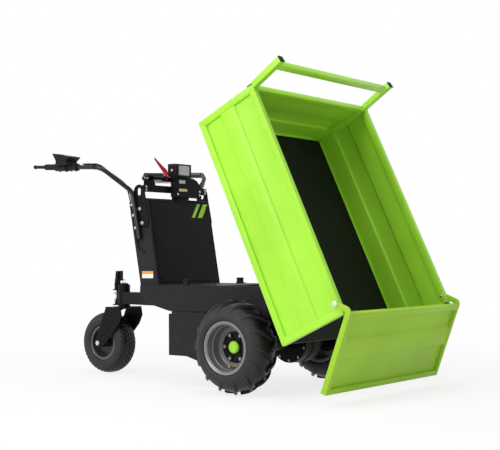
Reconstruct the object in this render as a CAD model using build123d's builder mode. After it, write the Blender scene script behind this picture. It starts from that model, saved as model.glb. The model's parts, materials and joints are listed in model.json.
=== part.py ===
from build123d import *
from math import cos, radians, sin, sqrt, tan
import os

os.makedirs("parts", exist_ok=True)

# A battery site dumper with three wheels, pushed and steered from behind, in millimetres.
# +X is forwards, towards the tailgate, +Y is the machine's left and +Z is up. The floor is
# at z = 0 and the origin is under the middle of the whole machine. The skip is tipped.

# ---- driving dimensions: the drive wheels
axle_x = 309.3  # drive axle, ahead of the origin
drive_tyre_radius = 203.0  # at the tips of the lugs
drive_wheel_y = 348.0  # middle plane of a drive wheel
drive_rim_flange = 114.5  # radius of the rim's lip
drive_bead_depth = 13.5  # from the lip down to the tyre's seat
drive_rim_width = 150.0
drive_disc_y = 350.0  # outer face of the wheel disc, deep in the dish
drive_disc = 8.0
drive_hub_radius = 68.0
drive_barrel_radius = 46.0  # hub behind the disc
hub_plate = 5.0
hub_boss = 8.0
hub_cap_radius = 26.5
hub_cap_length = 11.0
hub_cap_chamfer = 5.0
rim_wall = 4.0
rim_lip = 5.7
seat_gap = 0.3  # room between a piece and its seat
tyre_facets = 28  # flats round a tyre's carcass
lug_count = 14  # on each half of a drive tyre
lug_width = 17.0
lug_skew = 38.0  # degrees from the tyre's cross-section

# ---- driving dimensions: the castor
castor_pivot_back = 1009.0  # swivel axis, behind the drive axle
castor_trail = 108.0
castor_tyre_radius = 156.0
castor_rim_flange = 88.0
castor_bead_depth = 11.0
castor_rim_width = 96.0
castor_disc = 12.0
castor_hub_radius = 24.0
castor_axle_radius = 8.0
axle_nut_radius = 13.0
axle_nut_length = 9.0
fork_leg_y = 75.0  # middle of a fork leg
fork_leg_plate = 6.0
fork_eye_radius = 26.0
crown_bottom = 330.7
crown_plate = 10.0
crown_length = 108.0
head_bottom = 341.0
head_top = 453.0
head_radius = 30.0
stem_radius = 16.0
lock_reach = 36.0  # swivel lock's bracket behind the head
lock_width = 30.0
lock_plate = 6.0

# ---- driving dimensions: the chassis
chassis_half_width = 229.0
chassis_plate = 5.0
chassis_top = 460.0
chassis_low = 340.0
chassis_rear_low = 384.0
chassis_rear_back = 673.0  # rear plate, behind the drive axle
chassis_taper_back = 490.0
chassis_front_ahead = 162.0
chassis_front_rise = 45.0  # the plates' lower edge climbs by this to the front
top_flange = 36.0
cross_tube = 40.0
cross_tube_depth = 50.0
deck_front_back = 233.0
hanger_half = 62.0
hanger_flare = 30.0
hanger_nose = 12.0
axle_tube_radius = 34.0
axle_tube_half = 243.0
axle_flange_radius = 58.0
axle_flange = 12.0
gear_case_radius = 98.0
gear_case_y = 38.0
gear_case_width = 118.0
motor_ahead = 60.0
motor_above = 82.0  # motor's axis above the drive axle
motor_radius = 62.0
motor_length = 190.0
arm_top = 415.0
arm_bottom = 355.0
arm_half_width = 90.0
arm_straight = 60.0

# ---- driving dimensions: the battery box under the chassis
box_rear_back = 490.0
box_front_back = 210.0
box_top = 328.0
box_bottom = 138.0
box_low = 117.0
box_step_rear = 105.0  # where the bottom starts to drop, ahead of the box's rear
box_step_front = 185.0
box_rim_width = 14.0
box_rim_end = 15.0

# ---- driving dimensions: the tower and the handlebars
tower_half_width = 226.0
tower_front_back = 561.0
tower_depth = 116.0
tower_top = 873.0
tower_lean = 10.0  # degrees towards the rear
tower_edge = 8.0
tower_panel = 3.0
tower_panel_margin = 14.0
bracket_plate = 6.0
bracket_eye_z = 903.0
bracket_eye_back = 678.0
bracket_eye_radius = 34.0
bracket_drop = 170.0  # from the lifting eye down to the plate's foot
bracket_foot_rear = 5.0  # corners of the plate, ahead of the eye
bracket_foot_front = 53.0
bracket_bulge = 62.0
bracket_bulge_rise = 34.0  # over the foot
bracket_neck = 39.0
bracket_neck_drop = 28.0
bracket_waist = 27.0  # behind the eye
bracket_waist_drop = 42.0
eye_slot_centres = 14.0
eye_slot_width = 24.0
crossbar_ahead = 26.0  # middle of the crossbar, ahead of the lifting eyes
crossbar_depth = 12.0
crossbar_drop = 0.5  # lower edge under the lifting eyes' middle
crossbar_height = 33.0
tab_height = 46.0  # raised tab at the crossbar's right end
tab_width = 76.0
tab_plate = 6.0
control_box_drop = 19.5  # under the crossbar's lower edge
control_box_height = 96.0
control_box_depth = 34.0
control_box_right = -42.0  # edges across the machine
control_box_left = 148.0
lamp_y = 4.0
lamp_width = 104.0
lamp_height = 62.0
lamp_depth = 52.0
lamp_neck = 3.0  # from the control box up to the lamp
lever_y = -93.0  # tip lever's foot on the crossbar
lever_stalk = 52.0
lever_handle = 112.0
lever_lean = 43.0  # degrees that the handle leans to the right
bar_radius = 11.0
bar_half_span = 380.0
bar_foot_ahead = 14.0  # foot of a bar, ahead of the lifting eye and under it
bar_foot_drop = 225.0
bar_crook_back = 35.0  # where a bar splays, behind the lifting eye and over it
bar_crook_rise = 2.0
bar_crook_radius = 45.0
bar_bend_radius = 60.0
bar_bend_back = 785.0  # where a bar turns level, behind the drive axle
bar_end_back = 1166.0
bar_height = 1017.0
bar_slope = 3.3  # degrees that the level run rises towards the rear
throttle_back = 1093.0  # front of the twist sleeve on the right bar
throttle_radius = 14.0
tail_length = 87.0  # thin rubber end behind the twist sleeve
tail_radius = 8.0
left_grip_front = 1055.0
left_grip_end = 1222.0
left_grip_radius = 15.0
console_middle_back = 1020.0
console_width = 72.0
lever_drop = 36.0  # brake lever under the left bar
lever_radius = 5.0
lever_tip_back = 1198.0

# ---- driving dimensions: the skip
tip_angle = 65.0
skip_pivot_ahead = 188.0
skip_pivot_z = 503.0
skip_pivot_along = 729.0  # from the skip's rear face to its hinge, along the floor
skip_length = 1035.0
skip_half_width = 443.0
skip_height = 325.0
frame_bar = 30.0  # width of the pressed frame round each panel
panel_depth = 25.0
sheet = 3.0
sheet_recess = 9.0
band_low = 113.0  # edges of the raised band in a side panel
band_high = 207.0
band_slope = 10.0
floor_low = 22.0  # underside of the floor sheet
floor_sheet = 4.0
rail_y = 150.0
rail_width = 40.0
rail_bottom = -30.0
member_bottom = -10.0  # underside of the cross members
hinge_pin_radius = 10.0
hinge_lug_plate = 10.0
rack_height = 165.0
rack_tube = 28.0
rack_lean = 8.0  # degrees that the posts lean back from the headboard
rack_foot = 3.0  # middle of a post's foot, ahead of the skip's rear face
rack_heel = 6.0
strip_middle = 70.0  # rubber strip on the headboard's rear, over its lower edge
strip_height = 80.0
strip_thickness = 6.0
strip_end_room = 5.0
buffer_radius = 18.0
buffer_y = 197.0
buffer_room = 5.0  # left over the buffers by the lowered skip

# ---- driving dimensions: the tailgate
gate_hinge_from_mouth = 50.0
gate_hinge_drop = 14.0  # under the top of the side
gate_offset = 55.0  # from the hinge to the gate's inner face
gate_thickness = 25.0
gate_top_drop = 10.0
gate_height = 343.0
gate_side_room = 3.0  # between the skip's side and a gate arm
gate_hang_angle = 20.6
gate_arm_width = 24.0
gate_arm_plate = 5.0
gate_pin_radius = 6.0
gate_pin_inside = 9.0  # a pin's reach inside the skip's side
gate_pin_outside = 3.0

# ---- driving dimensions: the tipping cylinder
barrel_pin_back = 158.0
barrel_pin_z = 141.0
barrel_radius = 25.0
barrel_length = 316.0
barrel_neck = 36.0  # from the pin to the round barrel
barrel_bottom = 44.0  # from the pin to the bottom of the bore
rod_radius = 12.0
rod_length = 288.0
eye_radius = 15.0
eye_width = 26.0
eye_pin_radius = 8.0
eye_behind_pivot = 218.0
eye_height = -45.0
bracket_gap = 6.0  # between an eye and the plates beside it


# ---- places worked out from the sizes
def ahead(distance):
    """X of a place given by its distance ahead of the drive axle."""
    return axle_x + distance


castor_pivot_x = ahead(-castor_pivot_back)
castor_axle_x = castor_pivot_x - castor_trail

tip = radians(tip_angle)
skip_along = Vector(cos(tip), 0, -sin(tip))  # down the floor, from headboard to mouth
skip_up = Vector(sin(tip), 0, cos(tip))  # square to the floor
skip_pivot = Vector(ahead(skip_pivot_ahead), 0, skip_pivot_z)
gate_half_width = skip_half_width + gate_side_room + gate_arm_plate


def skip_point(along, y, up):
    """A point of the tipped skip: along its floor, across it and above its lower edge."""
    return skip_pivot + skip_along * (along - skip_pivot_along) + skip_up * up + Vector(0, y, 0)


def skip_section(along):
    """Plane across the skip: its x is the machine's Y, its y is up from the floor."""
    return Plane(origin=skip_point(along, 0, 0), x_dir=(0, 1, 0), z_dir=skip_along)


def skip_elevation(y):
    """Plane along the skip: its x runs down the floor, its y is up from the floor."""
    return Plane(origin=skip_point(0, y, 0), x_dir=skip_along, z_dir=(0, -1, 0))


def upright(y):
    """Plane along the machine, through the drive axle's foot: its x is X, its y is Z."""
    return Plane(origin=(axle_x, y, 0), x_dir=(1, 0, 0), z_dir=(0, -1, 0))


def wheel_plane(x, y, z):
    """Plane for turned pieces: its x is the radius, its y is the machine's Y."""
    return Plane(origin=(x, y, z), x_dir=(1, 0, 0), z_dir=(0, 0, 1))


def facing_side(x, y, z, side=1):
    """Plane square to the machine's Y, facing its left (1) or its right (-1)."""
    return Plane(origin=(x, y, z), x_dir=(1, 0, 0), z_dir=(0, side, 0))


def facing_front(x):
    """Plane square to the machine's X: its x is the machine's Y, its y is Z."""
    return Plane(origin=(x, 0, 0), x_dir=(0, 1, 0), z_dir=(1, 0, 0))


def finish(part, name):
    """Names a piece and writes it."""
    part.label = name
    export_step(part, f"parts/{name}.step")


# ---- chassis frame: two folded side plates, cross tubes, hangers and hinge lugs
hinge_lug_radius = hinge_pin_radius + 5.0
hinge_lug_y = rail_y - rail_width / 2 - 4.0 - hinge_lug_plate
hanger_low = drive_tyre_radius - axle_tube_radius - hanger_nose
with BuildPart() as chassis_frame:
    for side in (-1, 1):
        outer = side * chassis_half_width
        with BuildSketch(upright(max(outer, outer - side * chassis_plate))):
            with BuildLine():
                Polyline(
                    (-chassis_rear_back, chassis_top),
                    (-chassis_rear_back, chassis_rear_low),
                    (-chassis_taper_back, chassis_low),
                    (-hanger_half - hanger_flare, chassis_low),
                    (-hanger_half + hanger_nose, hanger_low),
                    (hanger_half - hanger_nose, hanger_low),
                    (hanger_half + hanger_flare, chassis_low),
                    (chassis_front_ahead, chassis_low + chassis_front_rise),
                    (chassis_front_ahead, chassis_top),
                    close=True,
                )
            make_face()
            with Locations((0, drive_tyre_radius)):
                Circle(axle_tube_radius + seat_gap, mode=Mode.SUBTRACT)
        extrude(amount=chassis_plate)
        flange_middle = side * (chassis_half_width - top_flange / 2)
        flange_length = chassis_rear_back + chassis_front_ahead
        with Locations((ahead(chassis_front_ahead - flange_length / 2), flange_middle, chassis_top)):
            Box(flange_length, top_flange, chassis_plate, align=(Align.CENTER, Align.CENTER, Align.MAX))
    inner_width = 2 * (chassis_half_width - chassis_plate)
    with Locations((ahead(-chassis_rear_back), 0, chassis_rear_low)):
        Box(chassis_plate, inner_width, chassis_top - chassis_rear_low,
            align=(Align.MIN, Align.CENTER, Align.MIN))
    for tube_front in (chassis_front_ahead, cross_tube - deck_front_back):
        with Locations((ahead(tube_front), 0, chassis_top)):
            Box(cross_tube, inner_width, cross_tube_depth, align=(Align.MAX, Align.CENTER, Align.MAX))
    for side in (-1, 1):
        far_face = max(side * hinge_lug_y, side * (hinge_lug_y + hinge_lug_plate))
        with BuildSketch(upright(far_face)):
            with BuildLine():
                Polyline(
                    (chassis_front_ahead - cross_tube, chassis_top),
                    (chassis_front_ahead, chassis_top),
                    (chassis_front_ahead, chassis_top - 22),
                    (skip_pivot_ahead + hinge_lug_radius, skip_pivot_z),
                    (skip_pivot_ahead - hinge_lug_radius, skip_pivot_z),
                    close=True,
                )
            make_face()
            with Locations((skip_pivot_ahead, skip_pivot_z)):
                Circle(hinge_lug_radius)
                Circle(hinge_pin_radius + seat_gap, mode=Mode.SUBTRACT)
        extrude(amount=hinge_lug_plate)
finish(chassis_frame.part, "chassis_frame")

# ---- rear deck: the folded cover that closes the chassis under the tower
with BuildPart() as rear_deck:
    deck_length = chassis_rear_back - chassis_plate - deck_front_back
    with Locations((ahead(-deck_front_back), 0, chassis_top)):
        Box(deck_length, 2 * (chassis_half_width - top_flange), chassis_plate,
            align=(Align.MAX, Align.CENTER, Align.MAX))
finish(rear_deck.part, "rear_deck")

# ---- castor arm: a tapered box from the rear plate to the swivel head
with BuildPart() as castor_arm:
    arm_end_half = head_radius - 4.0
    with BuildSketch(Plane.XY.offset(arm_bottom)):
        with BuildLine():
            Polyline(
                (ahead(-chassis_rear_back), -arm_half_width),
                (ahead(-chassis_rear_back), arm_half_width),
                (ahead(-chassis_rear_back - arm_straight), arm_half_width),
                (castor_pivot_x, arm_end_half),
                (castor_pivot_x, -arm_end_half),
                (ahead(-chassis_rear_back - arm_straight), -arm_half_width),
                close=True,
            )
        make_face()
    extrude(amount=arm_top - arm_bottom)
    with BuildSketch(Plane.XY.offset(head_bottom)):
        with Locations((castor_pivot_x, 0)):
            Circle(head_radius)
    extrude(amount=head_top - head_bottom)
    with BuildSketch(Plane.XY.offset(head_bottom)):
        with Locations((castor_pivot_x, 0)):
            Circle(stem_radius + seat_gap)
    extrude(amount=head_top - head_bottom, mode=Mode.SUBTRACT)
finish(castor_arm.part, "castor_arm")

# ---- castor fork: stem, crown plate and two raked legs
castor_axle_z = castor_tyre_radius
with BuildPart() as castor_fork:
    with BuildSketch(Plane.XY.offset(crown_bottom)):
        with Locations((castor_pivot_x - 8, 0)):
            RectangleRounded(crown_length, 2 * fork_leg_y + fork_leg_plate, 8)
    extrude(amount=crown_plate)
    with BuildSketch(Plane.XY.offset(crown_bottom + crown_plate)):
        with Locations((castor_pivot_x, 0)):
            Circle(stem_radius)
    extrude(amount=head_top + 6 - crown_bottom - crown_plate)
    for side in (-1, 1):
        leg_face = side * fork_leg_y + fork_leg_plate / 2
        leg_top = crown_bottom + crown_plate - castor_axle_z
        with BuildSketch(Plane(origin=(castor_axle_x, leg_face, castor_axle_z), x_dir=(1, 0, 0),
                               z_dir=(0, -1, 0))):
            with BuildLine():
                # outline round the axle's eye: ahead of the axle, above the axle
                Polyline(
                    (castor_trail - crown_length / 2, leg_top),
                    (castor_trail + crown_length / 2 - 8, leg_top),
                    (castor_trail + crown_length / 2, leg_top - 44),
                    (castor_trail + 32, leg_top - 88),
                    (30, -20),
                    (-22, 12),
                    close=True,
                )
            make_face()
            Circle(fork_eye_radius)
            Circle(castor_axle_radius + seat_gap, mode=Mode.SUBTRACT)
        extrude(amount=fork_leg_plate)
finish(castor_fork.part, "castor_fork")

# ---- castor axle: a bolt with a head and a nut outside the fork's legs
axle_half = fork_leg_y + fork_leg_plate / 2
with BuildPart() as castor_axle:
    with BuildSketch(facing_side(castor_axle_x, -axle_half, castor_axle_z)):
        Circle(castor_axle_radius)
    extrude(amount=2 * axle_half)
    for side in (-1, 1):
        with BuildSketch(facing_side(castor_axle_x, side * axle_half, castor_axle_z, side)):
            RegularPolygon(axle_nut_radius, 6)
        extrude(amount=axle_nut_length)
finish(castor_axle.part, "castor_axle")

# ---- castor wheel: tyre and rim
# carcass of the castor's tyre: distance from the middle plane, depth under the crown
castor_carcass = ((0, 0), (24, 2), (44, 11), (57, 26), (62, 43), (57, 60))
castor_bead = castor_rim_flange - castor_bead_depth


def both_halves(carcass):
    """The sections of a tyre from one side to the other, from the table of one half."""
    return [(-out, depth) for out, depth in reversed(carcass[1:])] + list(carcass)


with BuildPart() as castor_tyre:
    for out, depth in both_halves(castor_carcass):
        with BuildSketch(facing_side(castor_axle_x, out, castor_axle_z)):
            RegularPolygon(castor_tyre_radius - depth, tyre_facets, rotation=180 / tyre_facets,
                           major_radius=False)
    loft(ruled=True)
    tyre_half = castor_carcass[-1][0]
    with BuildSketch(facing_side(castor_axle_x, -tyre_half, castor_axle_z)):
        Circle(castor_bead + seat_gap)
    extrude(amount=2 * tyre_half, mode=Mode.SUBTRACT)
    for side in (-1, 1):
        with BuildSketch(facing_side(castor_axle_x, side * tyre_half, castor_axle_z, -side)):
            Circle(castor_rim_flange + 2)
        extrude(amount=tyre_half - castor_rim_width / 2 + rim_lip + seat_gap, mode=Mode.SUBTRACT)
finish(castor_tyre.part, "castor_tyre")

with BuildPart() as castor_rim:
    hub_half = fork_leg_y - fork_leg_plate / 2 - seat_gap
    with BuildSketch(wheel_plane(castor_axle_x, 0, castor_axle_z)):
        half = castor_rim_width / 2
        bore = castor_axle_radius + seat_gap
        with BuildLine():
            Polyline(
                (bore, -hub_half),
                (castor_hub_radius, -hub_half),
                (castor_hub_radius, -castor_disc / 2),
                (castor_bead - rim_wall - 8, -castor_disc / 2),
                (castor_bead - rim_wall, -half),
                (castor_rim_flange, -half),
                (castor_rim_flange, -half + rim_lip),
                (castor_bead, -half + rim_lip),
                (castor_bead, half - rim_lip),
                (castor_rim_flange, half - rim_lip),
                (castor_rim_flange, half),
                (castor_bead - rim_wall, half),
                (castor_bead - rim_wall - 8, castor_disc / 2),
                (castor_hub_radius, castor_disc / 2),
                (castor_hub_radius, hub_half),
                (bore, hub_half),
                close=True,
            )
        make_face()
    revolve(axis=Axis((castor_axle_x, 0, castor_axle_z), (0, 1, 0)))
finish(castor_rim.part, "castor_rim")

# ---- swivel lock: a bracket behind the head, with a spring pin and a pull plate
lock_x = castor_pivot_x - head_radius
lock_low = head_bottom + 6.0
lock_high = head_top - 24.0
lock_pull = head_top + 20.0  # underside of the pull plate
with BuildPart() as swivel_lock:
    with Locations((lock_x, 0, lock_low), (lock_x, 0, lock_high - lock_plate)):
        Box(lock_reach, lock_width, lock_plate, align=(Align.MAX, Align.CENTER, Align.MIN))
    with Locations((lock_x, 0, lock_low)):
        Box(4, lock_width, lock_high - lock_low, align=(Align.MAX, Align.CENTER, Align.MIN))
    with BuildSketch(Plane.XY.offset(lock_low + 4)):
        with Locations((lock_x - lock_reach / 2, 0)):
            Circle(6)
    extrude(amount=lock_pull - lock_low - 4)
    with Locations((lock_x - 2, 0, lock_pull)):
        Box(lock_reach + 12, lock_width - 4, 5, align=(Align.CENTER, Align.CENTER, Align.MIN))
    with Locations((lock_x + 8, 0, lock_pull)):
        Box(24, 5, 50, align=(Align.CENTER, Align.CENTER, Align.MIN))
finish(swivel_lock.part, "swivel_lock")

# ---- battery box: the heavy closed box slung under the chassis
with BuildPart() as battery_box:
    with BuildSketch(upright(chassis_half_width)):
        with BuildLine():
            Polyline(
                (-box_rear_back, box_top),
                (-box_rear_back, box_bottom),
                (-box_rear_back + box_step_rear, box_bottom),
                (-box_rear_back + box_step_front, box_low),
                (-box_front_back, box_low),
                (-box_front_back, box_top),
                close=True,
            )
        make_face()
    extrude(amount=2 * chassis_half_width)
    # folded rims that hold the box under the chassis plates
    rim_length = box_rear_back - box_front_back - 2 * box_rim_end
    with Locations((ahead(-(box_rear_back + box_front_back) / 2), 0, box_top)):
        with GridLocations(0, 2 * chassis_half_width - box_rim_width, 1, 2):
            Box(rim_length, box_rim_width, chassis_low - box_top, align=(Align.CENTER, Align.CENTER, Align.MIN))
finish(battery_box.part, "battery_box")

# ---- axle housing: the axle tube with the gear case on it
with BuildPart() as axle_housing:
    with BuildSketch(facing_side(axle_x, -axle_tube_half, drive_tyre_radius)):
        Circle(axle_tube_radius)
    extrude(amount=2 * axle_tube_half)
    with BuildSketch(facing_side(axle_x, gear_case_y, drive_tyre_radius)):
        Circle(gear_case_radius)
    extrude(amount=gear_case_width)
    for side in (-1, 1):
        with BuildSketch(facing_side(axle_x, side * (axle_tube_half - 4), drive_tyre_radius, side)):
            Circle(axle_flange_radius)
        extrude(amount=axle_flange)
finish(axle_housing.part, "axle_housing")

# ---- drive motor: bolted to the gear case, ahead of the axle
with BuildPart() as drive_motor:
    with BuildSketch(facing_side(ahead(motor_ahead), gear_case_y, drive_tyre_radius + motor_above, -1)):
        Circle(motor_radius)
    extrude(amount=motor_length)
finish(drive_motor.part, "drive_motor")

# ---- drive wheels: lugged tyre, dished rim and hub with its cap
# carcass of a drive tyre: distance from the middle plane, depth under the lugs' tips
drive_carcass = ((0, 13), (34, 19), (60, 34), (78, 55), (82.5, 71), (78, 84))
# a lug's crest and its buried root: distance from the middle plane, depth under the tips
lug_profile = ((-7, 0.8), (14, 0.8), (38, 8), (62, 26), (78, 50), (70, 61), (-7, 31))
drive_bead = drive_rim_flange - drive_bead_depth
skew = radians(lug_skew)
lug_points = []
for out, depth in lug_profile:
    drop = sqrt((drive_tyre_radius - depth) ** 2 - (out * tan(skew)) ** 2)
    lug_points.append((out / cos(skew), -drop))
for name, side in (("right", -1), ("left", 1)):
    centre_y = side * drive_wheel_y
    turning = Axis((axle_x, 0, drive_tyre_radius), (0, 1, 0))
    rim_half = drive_rim_width / 2
    lugs = []
    for hand in (-1, 1):
        along_lug = Vector(sin(skew), hand * cos(skew), 0)
        with BuildPart() as lug:
            with BuildSketch(Plane(origin=(axle_x, centre_y, drive_tyre_radius), x_dir=along_lug,
                                   z_dir=along_lug.cross(Vector(0, 0, 1)))):
                with BuildLine():
                    Polyline(*lug_points, close=True)
                make_face()
            extrude(amount=lug_width / 2, both=True)
        for place in range(lug_count):
            lugs.append(lug.part.rotate(turning, (place + hand / 4 + 0.25) * 360 / lug_count))
    with BuildPart() as drive_tyre:
        for out, depth in both_halves(drive_carcass):
            with BuildSketch(facing_side(axle_x, centre_y + out, drive_tyre_radius)):
                RegularPolygon(drive_tyre_radius - depth, tyre_facets)
        loft(ruled=True)
        add(lugs)
        tyre_half = drive_carcass[-2][0]
        with BuildSketch(facing_side(axle_x, centre_y - tyre_half, drive_tyre_radius)):
            Circle(drive_bead + seat_gap)
        extrude(amount=2 * tyre_half, mode=Mode.SUBTRACT)
        for out in (-1, 1):
            with BuildSketch(facing_side(axle_x, centre_y + out * tyre_half, drive_tyre_radius, -out)):
                Circle(drive_rim_flange + 2)
            extrude(amount=tyre_half - rim_half + rim_lip + seat_gap, mode=Mode.SUBTRACT)
    finish(drive_tyre.part, f"drive_tyre_{name}")

    disc_out = drive_disc_y - drive_wheel_y  # the disc's outer face, from the middle plane
    with BuildPart() as drive_rim:
        with BuildSketch(wheel_plane(axle_x, centre_y, drive_tyre_radius)):
            with BuildLine():
                Polyline(
                    (drive_hub_radius, side * disc_out),
                    (drive_bead - rim_wall, side * (rim_half - 5)),
                    (drive_rim_flange - 3, side * rim_half),
                    (drive_rim_flange, side * (rim_half - 3)),
                    (drive_rim_flange, side * (rim_half - rim_lip)),
                    (drive_bead, side * (rim_half - rim_lip)),
                    (drive_bead, -side * (rim_half - rim_lip)),
                    (drive_rim_flange, -side * (rim_half - rim_lip)),
                    (drive_rim_flange, -side * rim_half),
                    (drive_bead - rim_wall, -side * (rim_half - 5)),
                    (drive_bead - rim_wall, side * (disc_out - drive_disc)),
                    (drive_hub_radius, side * (disc_out - drive_disc)),
                    close=True,
                )
            make_face()
        revolve(axis=turning)
    finish(drive_rim.part, f"drive_rim_{name}")

    hub_inner = axle_tube_half - 4 + axle_flange + seat_gap
    # steps of the hub: radius, inner face, length
    hub_steps = (
        (drive_barrel_radius, hub_inner, drive_disc_y - drive_disc - hub_inner),
        (drive_hub_radius, drive_disc_y - drive_disc, hub_plate),
        (hub_cap_radius + 4, drive_disc_y - drive_disc + hub_plate, hub_boss),
    )
    with BuildPart() as drive_hub:
        for radius, inner, length in hub_steps:
            with BuildSketch(facing_side(axle_x, side * inner, drive_tyre_radius, side)):
                Circle(radius)
            extrude(amount=length)
    finish(drive_hub.part, f"drive_hub_{name}")

    cap_foot = drive_disc_y - drive_disc + hub_plate + hub_boss
    with BuildPart() as hub_cap:
        with BuildSketch(facing_side(axle_x, side * cap_foot, drive_tyre_radius, side)):
            Circle(hub_cap_radius)
        extrude(amount=hub_cap_length)
        chamfer(hub_cap.edges().group_by(Axis.Y)[-1 if side > 0 else 0], hub_cap_chamfer)
    finish(hub_cap.part, f"hub_cap_{name}")

# ---- tower: closed housing leaning back, with a black front panel
lean = radians(tower_lean)
tower_up = Vector(-sin(lean), 0, cos(lean))
tower_foot = Vector(ahead(-tower_front_back), 0, chassis_top)
tower_rise = (tower_top - chassis_top) / cos(lean)
tower_foot_rear = chassis_rear_back + 2.0
with BuildPart() as tower_housing:
    with BuildSketch(upright(tower_half_width)):
        top_front = -tower_front_back - tower_rise * sin(lean)
        with BuildLine():
            Polyline(
                (-tower_front_back, chassis_top),
                (-tower_foot_rear, chassis_top),
                (top_front - tower_depth * cos(lean), tower_top - tower_depth * sin(lean)),
                (top_front, tower_top),
                close=True,
            )
        make_face()
    extrude(amount=2 * tower_half_width)
    fillet(tower_housing.edges().filter_by(Axis.Y).group_by(Axis.Z)[-1], tower_edge)
finish(tower_housing.part, "tower_housing")

front_plane = Plane(origin=tower_foot, x_dir=(0, 1, 0), z_dir=(cos(lean), 0, sin(lean)))
with BuildPart() as tower_panel_piece:
    with BuildSketch(front_plane):
        with Locations((0, tower_rise / 2)):
            RectangleRounded(2 * (tower_half_width - tower_panel_margin),
                             tower_rise - 2 * tower_panel_margin, tower_edge)
    extrude(amount=tower_panel)
finish(tower_panel_piece.part, "tower_front_panel")

# ---- handle brackets: two plates on the tower's sides with lifting eyes
with BuildPart() as handle_brackets:
    for side in (-1, 1):
        near_face = side * tower_half_width
        plate_face = max(near_face, near_face + side * bracket_plate)
        with BuildSketch(Plane(origin=(ahead(-bracket_eye_back), plate_face, bracket_eye_z), x_dir=(1, 0, 0),
                               z_dir=(0, -1, 0))):
            with BuildLine():
                # outline under the lifting eye: ahead of the eye, above the eye
                Polyline(
                    (bracket_foot_rear, -bracket_drop),
                    (bracket_foot_front, -bracket_drop),
                    (bracket_bulge, bracket_bulge_rise - bracket_drop),
                    (bracket_neck, -bracket_neck_drop),
                    (bracket_eye_radius, 0),
                    (-bracket_eye_radius, 0),
                    (-bracket_waist, -bracket_waist_drop),
                    close=True,
                )
            make_face()
            Circle(bracket_eye_radius)
            SlotCenterToCenter(eye_slot_centres, eye_slot_width, rotation=90, mode=Mode.SUBTRACT)
        extrude(amount=bracket_plate)
finish(handle_brackets.part, "handle_brackets")

# ---- crossbar between the brackets, with a raised tab at the right
crossbar_x = ahead(-bracket_eye_back + crossbar_ahead)
crossbar_front = crossbar_x + crossbar_depth / 2
crossbar_bottom = bracket_eye_z - crossbar_drop
crossbar_top = crossbar_bottom + crossbar_height
with BuildPart() as tower_crossbar:
    with Locations((crossbar_x, 0, crossbar_bottom)):
        Box(crossbar_depth, 2 * tower_half_width, crossbar_height, align=(Align.CENTER, Align.CENTER, Align.MIN))
    tab_end = -tower_half_width
    with BuildSketch(facing_front(crossbar_front - tab_plate)):
        with BuildLine():
            Polyline(
                (tab_end, crossbar_top),
                (tab_end, crossbar_top + 0.4 * tab_height),
                (tab_end - 12, crossbar_top + 0.55 * tab_height),
                (tab_end - 12, crossbar_top + 0.8 * tab_height),
                (tab_end + 22, crossbar_top + tab_height),
                (tab_end + tab_width - 18, crossbar_top + tab_height),
                (tab_end + tab_width, crossbar_top),
                close=True,
            )
        make_face()
    extrude(amount=tab_plate)
finish(tower_crossbar.part, "tower_crossbar")

# ---- control box on the crossbar's front face
control_box_bottom = crossbar_bottom - control_box_drop
control_box_top = control_box_bottom + control_box_height
with BuildPart() as control_box:
    with BuildSketch(facing_front(crossbar_front)):
        with BuildLine():
            Polyline(
                (control_box_right, control_box_bottom),
                (control_box_left, control_box_bottom),
                (control_box_left, control_box_top - 44),
                (control_box_left - 36, control_box_top - 10),
                (control_box_left - 66, control_box_top),
                (control_box_right, control_box_top),
                close=True,
            )
        make_face()
    extrude(amount=control_box_depth)
finish(control_box.part, "control_box")

# ---- work lamp on its neck over the control box, and its lens
lamp_x = crossbar_front + control_box_depth / 2
lamp_z = control_box_top + lamp_neck + lamp_height / 2
with BuildPart() as work_lamp:
    with Locations((lamp_x, lamp_y, lamp_z)):
        Box(lamp_depth, lamp_width, lamp_height)
    fillet(work_lamp.edges().filter_by(Axis.X), 8)
    with Locations((lamp_x, lamp_y, control_box_top)):
        Box(30, 40, lamp_height / 2, align=(Align.CENTER, Align.CENTER, Align.MIN))
finish(work_lamp.part, "work_lamp")

with BuildPart() as lamp_lens:
    with BuildSketch(facing_front(lamp_x + lamp_depth / 2)):
        with Locations((lamp_y, lamp_z)):
            RectangleRounded(0.75 * lamp_width, 0.75 * lamp_height, 6)
    extrude(amount=4)
finish(lamp_lens.part, "lamp_lens")

# ---- tip lever: a stalk on the crossbar with a red handle
leaning = radians(lever_lean)
with BuildPart() as tip_lever:
    with BuildSketch(Plane.XY.offset(crossbar_top)):
        with Locations((crossbar_x, lever_y)):
            Circle(6)
    extrude(amount=lever_stalk)
    with BuildSketch(Plane(origin=(crossbar_x, lever_y, crossbar_top + lever_stalk - 6), x_dir=(1, 0, 0),
                           z_dir=(0, -sin(leaning), cos(leaning)))):
        Circle(8)
    extrude(amount=lever_handle)
finish(tip_lever.part, "tip_lever")


# ---- handlebars: bent tubes, clamped on the brackets and splayed above the tower
def bent_path(points, radii):
    """Edges of straight runs joined by tangent arcs at the inner points."""
    edges = []
    start = Vector(*points[0])
    for before, corner, after, radius in zip(points, points[1:], points[2:], radii):
        corner = Vector(*corner)
        inward = (Vector(*before) - corner).normalized()
        onward = (Vector(*after) - corner).normalized()
        half_angle = radians(inward.get_angle(onward)) / 2
        reach = radius * cos(half_angle) / sin(half_angle)
        middle = corner + (inward + onward).normalized() * (radius / sin(half_angle) - radius)
        edges.append(Line(start, corner + inward * reach))
        edges.append(ThreePointArc(corner + inward * reach, middle, corner + onward * reach))
        start = corner + onward * reach
    edges.append(Line(start, Vector(*points[-1])))
    return edges


bar_clamp_y = tower_half_width + bracket_plate + bar_radius + seat_gap
rear_along_bar = Vector(-cos(radians(bar_slope)), 0, sin(radians(bar_slope)))


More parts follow.
